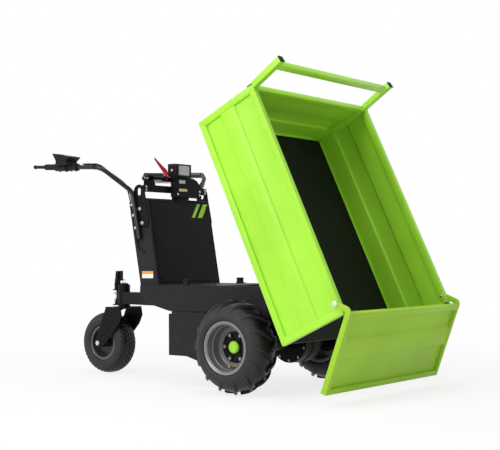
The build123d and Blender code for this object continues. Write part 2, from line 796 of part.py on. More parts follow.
def on_bar(side, back, below=0.0):
    """A point on the level run of a handlebar, or below it."""
    reach = (back - bar_bend_back) / cos(radians(bar_slope))
    bend = Vector(ahead(-bar_bend_back), side * bar_half_span, bar_height)
    return bend + rear_along_bar * reach - Vector(0, 0, below)


def bar_section(side, back, below=0.0):
    """Plane across the level run of a handlebar, facing the rear."""
    return Plane(origin=on_bar(side, back, below), x_dir=(0, 1, 0), z_dir=rear_along_bar)


def bar_length(front, rear):
    """Length along the level run between two distances behind the drive axle."""
    return (rear - front) / cos(radians(bar_slope))


for name, side in (("right", -1), ("left", 1)):
    bar_points = [
        (ahead(bar_foot_ahead - bracket_eye_back), side * bar_clamp_y, bracket_eye_z - bar_foot_drop),
        (ahead(-bar_crook_back - bracket_eye_back), side * bar_clamp_y, bracket_eye_z + bar_crook_rise),
        (ahead(-bar_bend_back), side * bar_half_span, bar_height),
        tuple(on_bar(side, bar_end_back)),
    ]
    with BuildPart() as handlebar:
        with BuildLine():
            bent_path(bar_points, (bar_crook_radius, bar_bend_radius))
        first = Vector(*bar_points[0])
        with BuildSketch(Plane(origin=first, z_dir=Vector(*bar_points[1]) - first)):
            Circle(bar_radius)
        sweep()
    finish(handlebar.part, f"handlebar_{name}")

# ---- hand grips: the twist sleeve with its thin tail, and the plain left grip
with BuildPart() as hand_grips:
    with BuildSketch(bar_section(-1, throttle_back)):
        Circle(throttle_radius)
    extrude(amount=bar_length(throttle_back, bar_end_back + 2))
    with BuildSketch(bar_section(-1, bar_end_back)):
        Circle(tail_radius)
    extrude(amount=tail_length)
    with BuildSketch(bar_section(1, left_grip_front)):
        Circle(left_grip_radius)
    extrude(amount=bar_length(left_grip_front, left_grip_end))
    for side, front in ((-1, throttle_back), (1, left_grip_front)):
        with BuildSketch(bar_section(side, front)):
            Circle(bar_radius + seat_gap)
        extrude(amount=bar_length(front, bar_end_back) + seat_gap, mode=Mode.SUBTRACT)
finish(hand_grips.part, "hand_grips")

# ---- display console on the right bar: clamp housing, neck and flared hood with a knob
console_foot = on_bar(-1, console_middle_back)
# sleeves round the bar: front and rear from the console's middle, radius
console_sleeves = ((-82, -23, 17), (-16, 70, 20))
with BuildPart() as display_console:
    for front, rear, radius in console_sleeves:
        with BuildSketch(bar_section(-1, console_middle_back + front)):
            Circle(radius)
        extrude(amount=bar_length(front, rear))
    with BuildSketch(Plane(origin=console_foot + Vector(0, console_width / 2, 0), x_dir=(1, 0, 0),
                           z_dir=(0, -1, 0))):
        with BuildLine():
            # flared hood: ahead of the console's middle, above the bar
            Polyline((-36, 6), (-40, 34), (-62, 66), (60, 44), (34, 26), (38, 6), close=True)
        make_face()
    extrude(amount=console_width)
    with BuildSketch(Plane(origin=console_foot + Vector(-36, 0, 34), x_dir=(0, 1, 0), z_dir=(-1, 0, 0))):
        Circle(10)
    extrude(amount=30)
    with BuildSketch(bar_section(-1, console_middle_back - 2 * console_width)):
        Circle(bar_radius + seat_gap)
    extrude(amount=4 * console_width, mode=Mode.SUBTRACT)
finish(display_console.part, "display_console")

# ---- brake lever under the left grip, on a clamp round the bar
lever_clamp_front = left_grip_front - 34.0
with BuildPart() as brake_lever:
    with BuildSketch(bar_section(1, lever_clamp_front)):
        Circle(bar_radius + 6)
        Circle(bar_radius + seat_gap, mode=Mode.SUBTRACT)
    extrude(amount=26)
    with BuildSketch(Plane.XY.offset(on_bar(1, lever_clamp_front, lever_drop).Z)):
        with Locations((ahead(-lever_clamp_front - 13), bar_half_span)):
            Rectangle(20, 14)
    extrude(amount=lever_drop - bar_radius - 2)
    with BuildSketch(bar_section(1, lever_clamp_front, lever_drop)):
        Circle(lever_radius)
    extrude(amount=bar_length(lever_clamp_front, lever_tip_back))
finish(brake_lever.part, "brake_lever")

# ---- skip: subframe rails, cross members and the cylinder's bracket
rest_member_along = skip_pivot_along - skip_pivot_ahead - chassis_taper_back + 82.0
eye_along = skip_pivot_along - eye_behind_pivot
member_places = (rest_member_along, eye_along - 12, skip_length - 105)
plate_middle = eye_width / 2 + bracket_gap + 4.0  # of the bracket's plates beside the rod's eye
with BuildPart() as skip_subframe:
    for side in (-1, 1):
        with BuildSketch(skip_elevation(side * rail_y + rail_width / 2)):
            with BuildLine():
                Polyline(
                    (40, floor_low),
                    (40, 0),
                    (90, rail_bottom),
                    (skip_length - 100, rail_bottom),
                    (skip_length - 15, 0),
                    (skip_length - 15, floor_low),
                    close=True,
                )
            make_face()
            with Locations((skip_pivot_along, 0)):
                Circle(hinge_pin_radius + seat_gap, mode=Mode.SUBTRACT)
        extrude(amount=rail_width)
    for along in member_places:
        with BuildSketch(skip_section(along - cross_tube / 2)):
            with Locations((0, (floor_low + member_bottom) / 2)):
                Rectangle(2 * (skip_half_width - panel_depth), floor_low - member_bottom)
        extrude(amount=cross_tube)
    for side in (-1, 1):
        with BuildSketch(skip_elevation(side * plate_middle + 4)):
            with BuildLine():
                Polyline(
                    (eye_along - 52, member_bottom),
                    (eye_along - 22, eye_height - 14),
                    (eye_along + 22, eye_height - 14),
                    (eye_along + 52, member_bottom),
                    close=True,
                )
            make_face()
            with Locations((eye_along, eye_height)):
                Circle(eye_pin_radius + seat_gap, mode=Mode.SUBTRACT)
        extrude(amount=8)
finish(skip_subframe.part, "skip_subframe")

with BuildPart() as skip_floor:
    with BuildSketch(skip_section(panel_depth)):
        with Locations((0, floor_low + floor_sheet / 2)):
            Rectangle(2 * (skip_half_width - panel_depth), floor_sheet)
    extrude(amount=skip_length - panel_depth)
finish(skip_floor.part, "skip_floor")


def panel_profile(height, depth):
    """Points round a pressed panel: frame bars at both ends, a sheet with a raised band."""
    out = 1.5
    low = out + sheet_recess
    outline = [(0, 0), (0, frame_bar), (low, frame_bar)]
    outline += [(low, band_low), (out, band_low + band_slope), (out, band_high - band_slope), (low, band_high)]
    outline += [(low, height - frame_bar), (0, height - frame_bar), (0, height), (depth, height)]
    outline += [(depth, height - frame_bar), (low + sheet, height - frame_bar)]
    outline += [(low + sheet, band_high + 1), (out + sheet, band_high - band_slope + 1)]
    outline += [(out + sheet, band_low + band_slope - 1), (low + sheet, band_low - 1)]
    outline += [(low + sheet, frame_bar), (depth, frame_bar), (depth, 0)]
    return outline


# ---- skip sides: pressed sheet in a frame of square tube
for name, side in (("right", -1), ("left", 1)):
    with BuildPart() as skip_side:
        with BuildSketch(skip_section(0)):
            with BuildLine():
                profile = [(side * (skip_half_width - deep), up) for deep, up in panel_profile(skip_height, panel_depth)]
                Polyline(*profile, close=True)
            make_face()
        extrude(amount=skip_length)
        for along in (0, skip_length - frame_bar):
            with BuildSketch(skip_section(along)):
                with Locations((side * (skip_half_width - panel_depth / 2), skip_height / 2)):
                    Rectangle(panel_depth, skip_height)
            extrude(amount=frame_bar)
        hinge_along = skip_length - gate_hinge_from_mouth
        with BuildSketch(skip_elevation(skip_half_width)):
            with Locations((hinge_along, skip_height - gate_hinge_drop)):
                Circle(gate_pin_radius + seat_gap)
        extrude(amount=2 * skip_half_width, mode=Mode.SUBTRACT)
    finish(skip_side.part, f"skip_side_{name}")

# ---- headboard between the sides
with BuildPart() as skip_headboard:
    with BuildSketch(skip_elevation(skip_half_width - panel_depth)):
        with BuildLine():
            Polyline(*panel_profile(skip_height, panel_depth), close=True)
        make_face()
    extrude(amount=2 * (skip_half_width - panel_depth))
    for side in (-1, 1):
        with BuildSketch(skip_section(0)):
            with Locations((side * (skip_half_width - panel_depth - frame_bar / 2), skip_height / 2)):
                Rectangle(frame_bar, skip_height)
        extrude(amount=panel_depth)
finish(skip_headboard.part, "skip_headboard")

# ---- rack on the headboard: two posts that lean back and the bar between them
rack_lean_angle = radians(rack_lean)
rack_up = skip_up * cos(rack_lean_angle) - skip_along * sin(rack_lean_angle)
rack_across = skip_along * cos(rack_lean_angle) + skip_up * sin(rack_lean_angle)
post_y = skip_half_width - rack_tube / 2


def rack_point(y, height):
    """A point on the middle of the rack, above the headboard's top edge."""
    return skip_point(rack_foot, y, skip_height) + rack_up * height


with BuildPart() as skip_rack:
    for side in (-1, 1):
        with BuildSketch(Plane(origin=rack_point(side * post_y, rack_heel / 2), x_dir=(0, 1, 0), z_dir=rack_up)):
            Rectangle(rack_tube, rack_tube)
        extrude(amount=rack_height - rack_heel / 2)
        # heel of the post, down to the level top edges of the side and the headboard
        with BuildSketch(skip_section(rack_foot - rack_tube / 2)):
            with Locations((side * post_y, skip_height + rack_heel / 2)):
                Rectangle(rack_tube, rack_heel)
        extrude(amount=rack_tube)
    with BuildSketch(Plane(origin=rack_point(rack_tube - skip_half_width, rack_height - 34), x_dir=rack_across,
                           z_dir=(0, 1, 0))):
        Rectangle(rack_tube, rack_tube)
    extrude(amount=2 * (skip_half_width - rack_tube))
finish(skip_rack.part, "skip_rack")

# ---- black end caps on the posts and on the side rails
with BuildPart() as skip_end_caps:
    for side in (-1, 1):
        with BuildSketch(Plane(origin=rack_point(side * post_y, rack_height), x_dir=(0, 1, 0), z_dir=rack_up)):
            RectangleRounded(rack_tube + 2, rack_tube + 2, 3)
        extrude(amount=5)
        with BuildSketch(skip_section(0)):
            with Locations((side * (skip_half_width - panel_depth / 2), skip_height - frame_bar / 2)):
                Rectangle(panel_depth, frame_bar)
        extrude(amount=-5)
finish(skip_end_caps.part, "skip_end_caps")

# ---- rubber strip low on the headboard's rear face
with BuildPart() as headboard_strip:
    with BuildSketch(skip_section(0)):
        with Locations((0, strip_middle)):
            Rectangle(2 * (skip_half_width - panel_depth - frame_bar - strip_end_room), strip_height)
    extrude(amount=-strip_thickness)
finish(headboard_strip.part, "headboard_strip")

# ---- tailgate: framed sheet hanging on two hooked arms outside the sides
gate_pivot = skip_point(skip_length - gate_hinge_from_mouth, 0, skip_height - gate_hinge_drop)
hang = radians(gate_hang_angle)
gate_down = Vector(-sin(hang), 0, -cos(hang))
gate_out = Vector(cos(hang), 0, -sin(hang))
gate_face = Plane(origin=gate_pivot + gate_out * gate_offset, x_dir=(0, 1, 0), z_dir=gate_out)
gate_middle = -(gate_top_drop + gate_height / 2)
with BuildPart() as tailgate:
    with BuildSketch(gate_face):
        with Locations((0, gate_middle)):
            Rectangle(2 * gate_half_width, gate_height)
            Rectangle(2 * (gate_half_width - gate_arm_width), gate_height - 2 * gate_arm_width, mode=Mode.SUBTRACT)
    extrude(amount=gate_thickness)
    with BuildSketch(gate_face.offset(gate_thickness / 2)):
        with Locations((0, gate_middle)):
            Rectangle(2 * gate_half_width - 10, gate_height - 10)
    extrude(amount=sheet)
    for side in (-1, 1):
        inner = side * (gate_half_width - gate_arm_plate)
        arm_face = max(inner, side * gate_half_width)
        with BuildSketch(Plane(origin=gate_pivot + Vector(0, arm_face, 0), x_dir=gate_out, z_dir=(0, -1, 0))):
            with BuildLine():
                Polyline(
                    (0, gate_arm_width / 2),
                    (gate_offset + gate_thickness - 8, gate_arm_width / 2),
                    (gate_offset + gate_thickness, gate_arm_width / 2 - 8),
                    (gate_offset + gate_thickness, -gate_top_drop - 30),
                    (gate_offset, -gate_top_drop - 30),
                    (gate_offset, -gate_arm_width / 2 - 4),
                    (gate_offset - 6, -gate_arm_width / 2),
                    (0, -gate_arm_width / 2),
                    close=True,
                )
            make_face()
            Circle(gate_arm_width / 2)
            Circle(gate_pin_radius + seat_gap, mode=Mode.SUBTRACT)
        extrude(amount=gate_arm_plate)
finish(tailgate.part, "tailgate")

# ---- tailgate pins through the side rails
with BuildPart() as tailgate_pins:
    pin_start = skip_half_width - panel_depth - gate_pin_inside
    pin_end = gate_half_width + gate_pin_outside
    for side in (-1, 1):
        with BuildSketch(facing_side(gate_pivot.X, side * pin_start, gate_pivot.Z, side)):
            Circle(gate_pin_radius)
        extrude(amount=pin_end - pin_start)
        with BuildSketch(facing_side(gate_pivot.X, side * (gate_half_width + 1), gate_pivot.Z, side)):
            Circle(2 * gate_pin_radius)
        extrude(amount=7)
finish(tailgate_pins.part, "tailgate_pins")

# ---- hinge pin of the skip, held in the chassis lugs
with BuildPart() as hinge_pin:
    pin_half = rail_y + rail_width / 2 + 12
    with BuildSketch(facing_side(skip_pivot.X, -pin_half, skip_pivot.Z)):
        Circle(hinge_pin_radius)
    extrude(amount=2 * pin_half)
finish(hinge_pin.part, "skip_hinge_pin")

# ---- rubber buffers under the cross member of the lowered skip
with BuildPart() as buffers:
    for side in (-1, 1):
        with BuildSketch(Plane.XY.offset(chassis_top)):
            with Locations((ahead(skip_pivot_ahead - skip_pivot_along + rest_member_along), side * buffer_y)):
                Circle(buffer_radius)
        extrude(amount=skip_pivot_z + member_bottom - buffer_room - chassis_top)
finish(buffers.part, "rest_buffers")

# ---- tipping cylinder: barrel on a cross pin, rod with its eye under the skip
barrel_pin = Vector(ahead(-barrel_pin_back), 0, barrel_pin_z)
rod_eye = skip_point(eye_along, 0, eye_height)
stroke_line = (rod_eye - barrel_pin).normalized()


def along_stroke(distance):
    """Plane across the cylinder, at a distance from the barrel's pin."""
    return Plane(origin=barrel_pin + stroke_line * distance, x_dir=(0, 1, 0), z_dir=stroke_line)


with BuildPart() as cylinder_barrel:
    with BuildSketch(along_stroke(barrel_neck)):
        Circle(barrel_radius)
    extrude(amount=barrel_length - barrel_neck)
    with BuildSketch(along_stroke(0)):
        Rectangle(eye_width, 2 * eye_radius)
    extrude(amount=barrel_neck)
    with BuildSketch(facing_side(barrel_pin.X, -eye_width / 2, barrel_pin.Z)):
        Circle(eye_radius + 3)
    extrude(amount=eye_width)
    with BuildSketch(facing_side(barrel_pin.X, -eye_width / 2, barrel_pin.Z)):
        Circle(eye_pin_radius + seat_gap)
    extrude(amount=eye_width, mode=Mode.SUBTRACT)
    with BuildSketch(along_stroke(barrel_bottom)):
        Circle(rod_radius + seat_gap)
    extrude(amount=barrel_length - barrel_bottom, mode=Mode.SUBTRACT)
finish(cylinder_barrel.part, "cylinder_barrel")

with BuildPart() as cylinder_rod:
    with BuildSketch(Plane(origin=rod_eye, x_dir=(0, 1, 0), z_dir=-stroke_line)):
        Circle(rod_radius)
    extrude(amount=rod_length)
    with BuildSketch(facing_side(rod_eye.X, -eye_width / 2, rod_eye.Z)):
        Circle(eye_radius)
    extrude(amount=eye_width)
    with BuildSketch(facing_side(rod_eye.X, -eye_width / 2, rod_eye.Z)):
        Circle(eye_pin_radius + seat_gap)
    extrude(amount=eye_width, mode=Mode.SUBTRACT)
finish(cylinder_rod.part, "cylinder_rod")

# ---- the rod's pin: a stub with a head in each plate of the skip's bracket
stub_start = eye_width / 2 + 1.0
head_start = plate_middle + 4.0 + seat_gap
with BuildPart() as eye_pins:
    for side in (-1, 1):
        with BuildSketch(facing_side(rod_eye.X, side * stub_start, rod_eye.Z, side)):
            Circle(eye_pin_radius)
        extrude(amount=head_start - stub_start)
        with BuildSketch(facing_side(rod_eye.X, side * head_start, rod_eye.Z, side)):
            Circle(eye_pin_radius + 4)
        extrude(amount=5)
finish(eye_pins.part, "eye_pins")

# ---- bracket and pin that carry the barrel
with BuildPart() as barrel_bracket:
    for side in (-1, 1):
        plate_side = side * (eye_width / 2 + bracket_gap + 3) + 3
        with BuildSketch(Plane(origin=barrel_pin + Vector(0, plate_side, 0), x_dir=(1, 0, 0), z_dir=(0, -1, 0))):
            with BuildLine():
                # outline round the pin: ahead of the pin, above the pin
                Polyline(
                    (barrel_pin_back - box_front_back, -24),
                    (8, -24),
                    (20, -8),
                    (20, 10),
                    (0, 22),
                    (barrel_pin_back - box_front_back, 40),
                    close=True,
                )
            make_face()
        extrude(amount=6)
    pin_half = eye_width / 2 + bracket_gap + 9
    with BuildSketch(facing_side(barrel_pin.X, -pin_half, barrel_pin.Z)):
        Circle(eye_pin_radius)
    extrude(amount=2 * pin_half)
finish(barrel_bracket.part, "barrel_bracket")
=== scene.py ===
"""Visual model of a battery site dumper with three wheels and a tipped skip."""
import json
import logging
import math
from dataclasses import dataclass, field
from enum import Enum
from typing import Iterable, Optional, Sequence, Union

import bmesh
import bpy
from mathutils import Matrix, Quaternion, Vector

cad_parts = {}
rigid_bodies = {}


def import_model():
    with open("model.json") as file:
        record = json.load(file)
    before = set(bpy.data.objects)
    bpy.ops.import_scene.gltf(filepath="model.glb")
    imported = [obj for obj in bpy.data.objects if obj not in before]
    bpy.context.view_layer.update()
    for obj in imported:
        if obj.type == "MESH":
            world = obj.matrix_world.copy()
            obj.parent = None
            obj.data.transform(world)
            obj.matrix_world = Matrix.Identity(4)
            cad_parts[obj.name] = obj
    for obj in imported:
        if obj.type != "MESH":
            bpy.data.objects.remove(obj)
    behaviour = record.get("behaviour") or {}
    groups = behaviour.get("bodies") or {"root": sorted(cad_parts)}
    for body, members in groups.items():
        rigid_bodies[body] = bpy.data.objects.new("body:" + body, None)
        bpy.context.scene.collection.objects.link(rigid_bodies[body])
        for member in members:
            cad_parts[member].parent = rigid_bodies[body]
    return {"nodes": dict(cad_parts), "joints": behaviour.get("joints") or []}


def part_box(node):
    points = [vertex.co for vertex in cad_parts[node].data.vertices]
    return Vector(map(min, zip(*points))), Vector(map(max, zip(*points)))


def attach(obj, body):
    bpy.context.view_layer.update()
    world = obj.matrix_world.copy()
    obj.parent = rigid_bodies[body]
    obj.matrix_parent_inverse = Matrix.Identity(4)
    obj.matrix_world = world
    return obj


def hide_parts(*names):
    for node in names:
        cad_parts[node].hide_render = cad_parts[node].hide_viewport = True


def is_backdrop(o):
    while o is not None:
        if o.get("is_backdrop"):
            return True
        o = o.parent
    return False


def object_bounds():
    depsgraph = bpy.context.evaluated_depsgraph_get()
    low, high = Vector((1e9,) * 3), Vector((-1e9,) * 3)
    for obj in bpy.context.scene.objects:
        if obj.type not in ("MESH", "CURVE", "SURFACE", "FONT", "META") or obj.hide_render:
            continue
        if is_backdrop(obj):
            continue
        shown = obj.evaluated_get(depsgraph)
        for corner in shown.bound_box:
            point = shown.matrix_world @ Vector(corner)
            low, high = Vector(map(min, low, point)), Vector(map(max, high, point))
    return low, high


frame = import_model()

logging.basicConfig(level=logging.INFO, format="%(message)s")
log = logging.getLogger("site_dumper")

CAD_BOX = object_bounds()
NODES = frame["nodes"]
JOINTS = {joint["name"]: joint for joint in frame["joints"]}
Colour = tuple[float, float, float]
Point = Union[Vector, tuple[float, float, float]]


def mm(*rows: Sequence[float]) -> tuple:
    """Rows of millimetres as rows of metres."""
    return tuple(tuple(value / 1000 for value in row) for row in rows)


def pivot(joint: str) -> Vector:
    """Place of a joint's axis, in metres."""
    return Vector(JOINTS[joint]["pos_m"])


# ---------------------------------------------------------------- shader arithmetic


class Signal:
    """A number, colour or vector that flows through a material's nodes."""

    def __init__(self, graph: "Graph", socket: bpy.types.NodeSocket) -> None:
        """Keeps the graph and the output socket."""
        self.graph = graph
        self.socket = socket

    def _math(self, operation: str, *values: Union["Signal", float]) -> "Signal":
        """Adds one Math node and returns what it gives."""
        return self.graph.node("ShaderNodeMath", {"operation": operation}, dict(enumerate(values)))

    def __add__(self, other: Union["Signal", float]) -> "Signal":
        """Sum of two signals."""
        return self._math("ADD", self, other)

    __radd__ = __add__

    def __sub__(self, other: Union["Signal", float]) -> "Signal":
        """This signal less another."""
        return self._math("SUBTRACT", self, other)

    def __rsub__(self, other: Union["Signal", float]) -> "Signal":
        """Another value less this signal."""
        return self._math("SUBTRACT", other, self)

    def __mul__(self, other: Union["Signal", float]) -> "Signal":
        """Product of two signals."""
        return self._math("MULTIPLY", self, other)

    __rmul__ = __mul__

    def __truediv__(self, other: Union["Signal", float]) -> "Signal":
        """This signal divided by another."""
        return self._math("DIVIDE", self, other)

    def root(self) -> "Signal":
        """Square root of this signal."""
        return self._math("SQRT", self)

    def highest(self, other: Union["Signal", float]) -> "Signal":
        """The larger of two signals."""
        return self._math("MAXIMUM", self, other)

    def step(self, low: float, high: float) -> "Signal":
        """Eases from 0 at low to 1 at high, or down again where high is under low."""
        settings = {"interpolation_type": "SMOOTHSTEP", "clamp": True}
        if low <= high:
            return self.graph.node("ShaderNodeMapRange", settings, {0: self, 1: low, 2: high, 3: 0.0, 4: 1.0})
        return self.graph.node("ShaderNodeMapRange", settings, {0: self, 1: high, 2: low, 3: 1.0, 4: 0.0})


class Graph:
    """The node tree of one material."""

    def __init__(self, name: str, world: Optional[bpy.types.World] = None) -> None:
        """Starts an empty material, or a world, that has only its output.

        Args:
            name: Name of the material.
            world: World that takes the nodes instead of a new material.
        """
        self.material = world or bpy.data.materials.new(f"{name}_finish")
        self.material.use_nodes = True
        self.tree = self.material.node_tree
        self.tree.nodes.clear()
        self.out = self.tree.nodes.new("ShaderNodeOutputWorld" if world else "ShaderNodeOutputMaterial")
        self._place: Optional[Signal] = None

    def node(self, kind: str, settings: Optional[dict] = None, inputs: Optional[dict] = None,
             output: Union[int, str] = 0) -> Signal:
        """Adds one node: its settings first, then the values or links of its sockets.

        Args:
            kind: Type of the node.
            settings: Properties of the node.
            inputs: Socket name or number against a value or a signal.
            output: Socket whose signal is returned.

        Returns:
            The signal at that output.
        """
        made = self.tree.nodes.new(kind)
        for key, value in (settings or {}).items():
            setattr(made, key, value)
        for key, value in (inputs or {}).items():
            socket = made.inputs[key]
            if isinstance(value, Signal):
                self.tree.links.new(value.socket, socket)
            elif socket.type == "RGBA" and len(value) == 3:
                socket.default_value = (*value, 1.0)
            else:
                socket.default_value = value
        return Signal(self, made.outputs[output])

    @property
    def place(self) -> Signal:
        """Position on the piece, in metres of the machine's frame."""
        if self._place is None:
            self._place = self.node("ShaderNodeTexCoord", output="Object")
        return self._place

    def axis(self, name: str) -> Signal:
        """One coordinate of the position: X, Y or Z."""
        return self.node("ShaderNodeSeparateXYZ", inputs={0: self.place}, output=name)

    def radius_from(self, centre: Vector) -> Signal:
        """Distance of the surface from a wheel's axis."""
        ahead = self.axis("X") - centre.x
        above = self.axis("Z") - centre.z
        return (ahead * ahead + above * above).root()

    def radius_flat(self) -> Signal:
        """Distance on the floor from the machine's middle."""
        ahead, aside = self.axis("X"), self.axis("Y")
        return (ahead * ahead + aside * aside).root()

    def stretched(self, scale: Point) -> Signal:
        """The position, scaled along each axis."""
        return self.node("ShaderNodeMapping", inputs={"Vector": self.place, "Scale": tuple(scale)})

    def noise(self, scale: float, detail: float = 3.0, rough: float = 0.5,
              stretch: Optional[Point] = None) -> Signal:
        """Soft noise over the surface, from 0 to 1."""
        where = self.stretched(stretch) if stretch else self.place
        return self.node("ShaderNodeTexNoise",
                         inputs={"Vector": where, "Scale": scale, "Detail": detail, "Roughness": rough})

    def cells(self, scale: float, output: str = "Distance") -> Signal:
        """Cell pattern over the surface."""
        return self.node("ShaderNodeTexVoronoi", inputs={"Vector": self.place, "Scale": scale}, output=output)

    def blend(self, share: Union[Signal, float], first: Union[Signal, Colour],
              second: Union[Signal, Colour]) -> Signal:
        """Mixes two colours by a share from 0 to 1."""
        return self.node("ShaderNodeMix", {"data_type": "RGBA"}, {0: share, 6: first, 7: second}, output=2)

    def bump(self, height: Signal, strength: float, depth: float) -> Signal:
        """Normal of a surface with small relief."""
        return self.node("ShaderNodeBump", inputs={"Strength": strength, "Distance": depth, "Height": height})

    def surface(self, **sockets: Union[Signal, float, Colour]) -> bpy.types.Material:
        """Ends the material in one Principled shader.

        Args:
            sockets: Socket names with spaces as underscores, against values or signals.

        Returns:
            The finished material.
        """
        inputs = {key.replace("_", " "): value for key, value in sockets.items()}
        shader = self.node("ShaderNodeBsdfPrincipled", inputs=inputs)
        self.tree.links.new(shader.socket, self.out.inputs["Surface"])
        return self.material


# ---------------------------------------------------------------- finishes


@dataclass(frozen=True)
class PowderCoat:
    """Powder paint on steel, with orange peel, faint dust and rubbed spots."""

    name: str
    colour: Colour
    roughness: float = 0.36
    peel: float = 0.25
    dust: float = 0.12
    dust_colour: Colour = (0.32, 0.29, 0.25)
    coat: float = 0.05
    gloss: float = 0.07

    def build(self) -> bpy.types.Material:
        """Makes the material."""
        g = Graph(self.name)
        cloudy = g.noise(2.3, 4.0, 0.55)
        speck = g.noise(85.0, 2.0, 0.6)
        rub = g.noise(9.0, 6.0, 0.7, (1.0, 1.0, 0.35))
        low = g.axis("Z").step(0.55, 0.05)
        dusty = (cloudy.step(0.45, 0.8) * 0.5 + low * speck.step(0.4, 0.75)) * self.dust
        deep = tuple(0.86 * c for c in self.colour)
        paint = g.blend(cloudy.step(0.3, 0.7), deep, self.colour)
        colour = g.blend(dusty, paint, self.dust_colour)
        rough = (rub.step(0.5, 0.72) * 0.1 + dusty * 0.6) + self.roughness
        peel = g.noise(420.0, 1.0, 0.4) + g.noise(1500.0, 0.0) * 0.3
        return g.surface(Base_Color=colour, Roughness=rough, Specular_IOR_Level=self.gloss,
                         Coat_Weight=self.coat, Coat_Roughness=0.22, Normal=g.bump(peel, self.peel, 0.00006))


@dataclass(frozen=True)
class WheelPaint:
    """Grey rim paint: paler on the rolled lip as a painted highlight, and darker in brown patches towards the
    hub.
    """

    name: str
    centre: Vector
    lip: float
    colour: Colour = (0.135, 0.137, 0.142)
    # colour of the painted highlight on the rolled lip
    lip_highlight_colour: Colour = (0.21, 0.215, 0.22)

    def build(self) -> bpy.types.Material:
        """Makes the material."""
        g = Graph(self.name)
        radius = g.radius_from(self.centre)
        # painted highlight: the rolled lip is drawn paler than the rest of the rim
        on_lip_highlight = radius.step(self.lip - 0.011, self.lip - 0.007)
        # darker in brown patches from the lip inwards to the hub
        hubward_patches = radius.step(self.lip * 0.9, self.lip * 0.5) * g.noise(26.0, 5.0, 0.65).step(0.35, 0.75)
        paint = g.blend(on_lip_highlight, self.colour, self.lip_highlight_colour)
        colour = g.blend(hubward_patches * 0.35, paint, (0.07, 0.062, 0.055))
        rough = hubward_patches * 0.25 + g.noise(60.0).step(0.3, 0.8) * 0.08 + 0.3
        return g.surface(Base_Color=colour, Roughness=rough, Metallic=0.15, Coat_Weight=0.1, Coat_Roughness=0.2,
                         Normal=g.bump(g.noise(500.0, 1.0), 0.15, 0.00006))


@dataclass(frozen=True)
class TyreRubber:
    """Black rubber with mould rings on the sidewall and dry dust on the tread; the tread is drawn darker than
    the sidewall as painted shade.
    """

    name: str
    centre: Vector
    radius: float
    wall_lit_colour: Colour = (0.024, 0.023, 0.0255)
    tread_shade_colour: Colour = (0.007, 0.0072, 0.0075)
    dust_colour: Colour = (0.07, 0.066, 0.06)

    def build(self) -> bpy.types.Material:
        """Makes the material."""
        g = Graph(self.name)
        radius = g.radius_from(self.centre)
        rings = g.node("ShaderNodeMath", {"operation": "SINE"}, {0: radius * 2300.0})
        above = radius.step(self.radius * 0.58, self.radius * 0.62)
        on_wall = above * radius.step(self.radius * 0.8, self.radius * 0.76)
        grain = g.noise(700.0, 2.0, 0.6)
        patches = g.noise(14.0, 5.0, 0.6).step(0.42, 0.72)
        on_tread = radius.step(self.radius * 0.83, self.radius * 0.9)
        # painted shade: the tread takes a darker copy of the sidewall's rubber
        rubber = g.blend(on_tread, self.wall_lit_colour, self.tread_shade_colour)
        colour = g.blend(patches * 0.12, rubber, self.dust_colour)
        rough = patches * 0.12 + 0.56 - on_tread * 0.2
        relief = rings.step(0.2, 0.9) * on_wall * 0.8 + grain * 0.35
        return g.surface(Base_Color=colour, Roughness=rough, Specular_IOR_Level=0.3,
                         Normal=g.bump(relief, 0.5, 0.0003))


@dataclass(frozen=True)
class SoftRubber:
    """Matt black rubber of grips, strips and buffers."""

    name: str
    colour: Colour = (0.016, 0.0155, 0.017)

    def build(self) -> bpy.types.Material:
        """Makes the material."""
        g = Graph(self.name)
        bloom = g.noise(18.0, 4.0, 0.6).step(0.4, 0.75)
        colour = g.blend(bloom * 0.2, self.colour, (0.05, 0.05, 0.052))
        return g.surface(Base_Color=colour, Roughness=bloom * 0.12 + 0.6, Specular_IOR_Level=0.12,
                         Normal=g.bump(g.cells(900.0) + g.noise(300.0) * 0.4, 0.3, 0.00012))


@dataclass(frozen=True)
class MouldedPlastic:
    """Injection-moulded plastic with a fine spark grain."""

    name: str
    colour: Colour
    roughness: float = 0.42
    grain: float = 0.3
    gloss: float = 0.5

    def build(self) -> bpy.types.Material:
        """Makes the material."""
        g = Graph(self.name)
        worn = g.noise(22.0, 5.0, 0.6).step(0.5, 0.78)
        paler = tuple(min(1.0, 1.25 * c + 0.01) for c in self.colour)
        colour = g.blend(worn * 0.45, self.colour, paler)
        return g.surface(Base_Color=colour, Roughness=worn * 0.12 + self.roughness,
                         Specular_IOR_Level=self.gloss, Normal=g.bump(g.cells(1300.0), self.grain, 0.00006))


@dataclass(frozen=True)
class PlatedSteel:
    """Zinc-plated or turned steel, brushed by handling."""

    name: str
    colour: Colour
    roughness: float = 0.3
    spangle: float = 0.3

    def build(self) -> bpy.types.Material:
        """Makes the material."""
        g = Graph(self.name)
        spangle = g.cells(160.0, "Color")
        grey = g.node("ShaderNodeRGBToBW", inputs={0: spangle})
        streak = g.noise(60.0, 3.0, 0.6, (1.0, 12.0, 1.0))
        dull = tuple(0.72 * c for c in self.colour)
        colour = g.blend(grey * self.spangle + streak.step(0.4, 0.8) * 0.25, self.colour, dull)
        return g.surface(Base_Color=colour, Metallic=1.0, Roughness=streak * 0.16 + self.roughness,
                         Normal=g.bump(streak, 0.12, 0.0001))


@dataclass(frozen=True)
class LampLens:
    """Clear moulded cover over the lamp's reflectors."""

    name: str
    colour: Colour = (0.82, 0.84, 0.86)

    def build(self) -> bpy.types.Material:
        """Makes the material."""
        g = Graph(self.name)
        cells = g.cells(120.0)
        colour = g.blend(cells.step(0.0, 0.9), self.colour, (0.35, 0.36, 0.38))
        return g.surface(Base_Color=colour, Roughness=g.noise(90.0) * 0.06 + 0.12, Coat_Weight=0.6,
                         Coat_Roughness=0.04, Normal=g.bump(cells, 0.6, 0.0008))


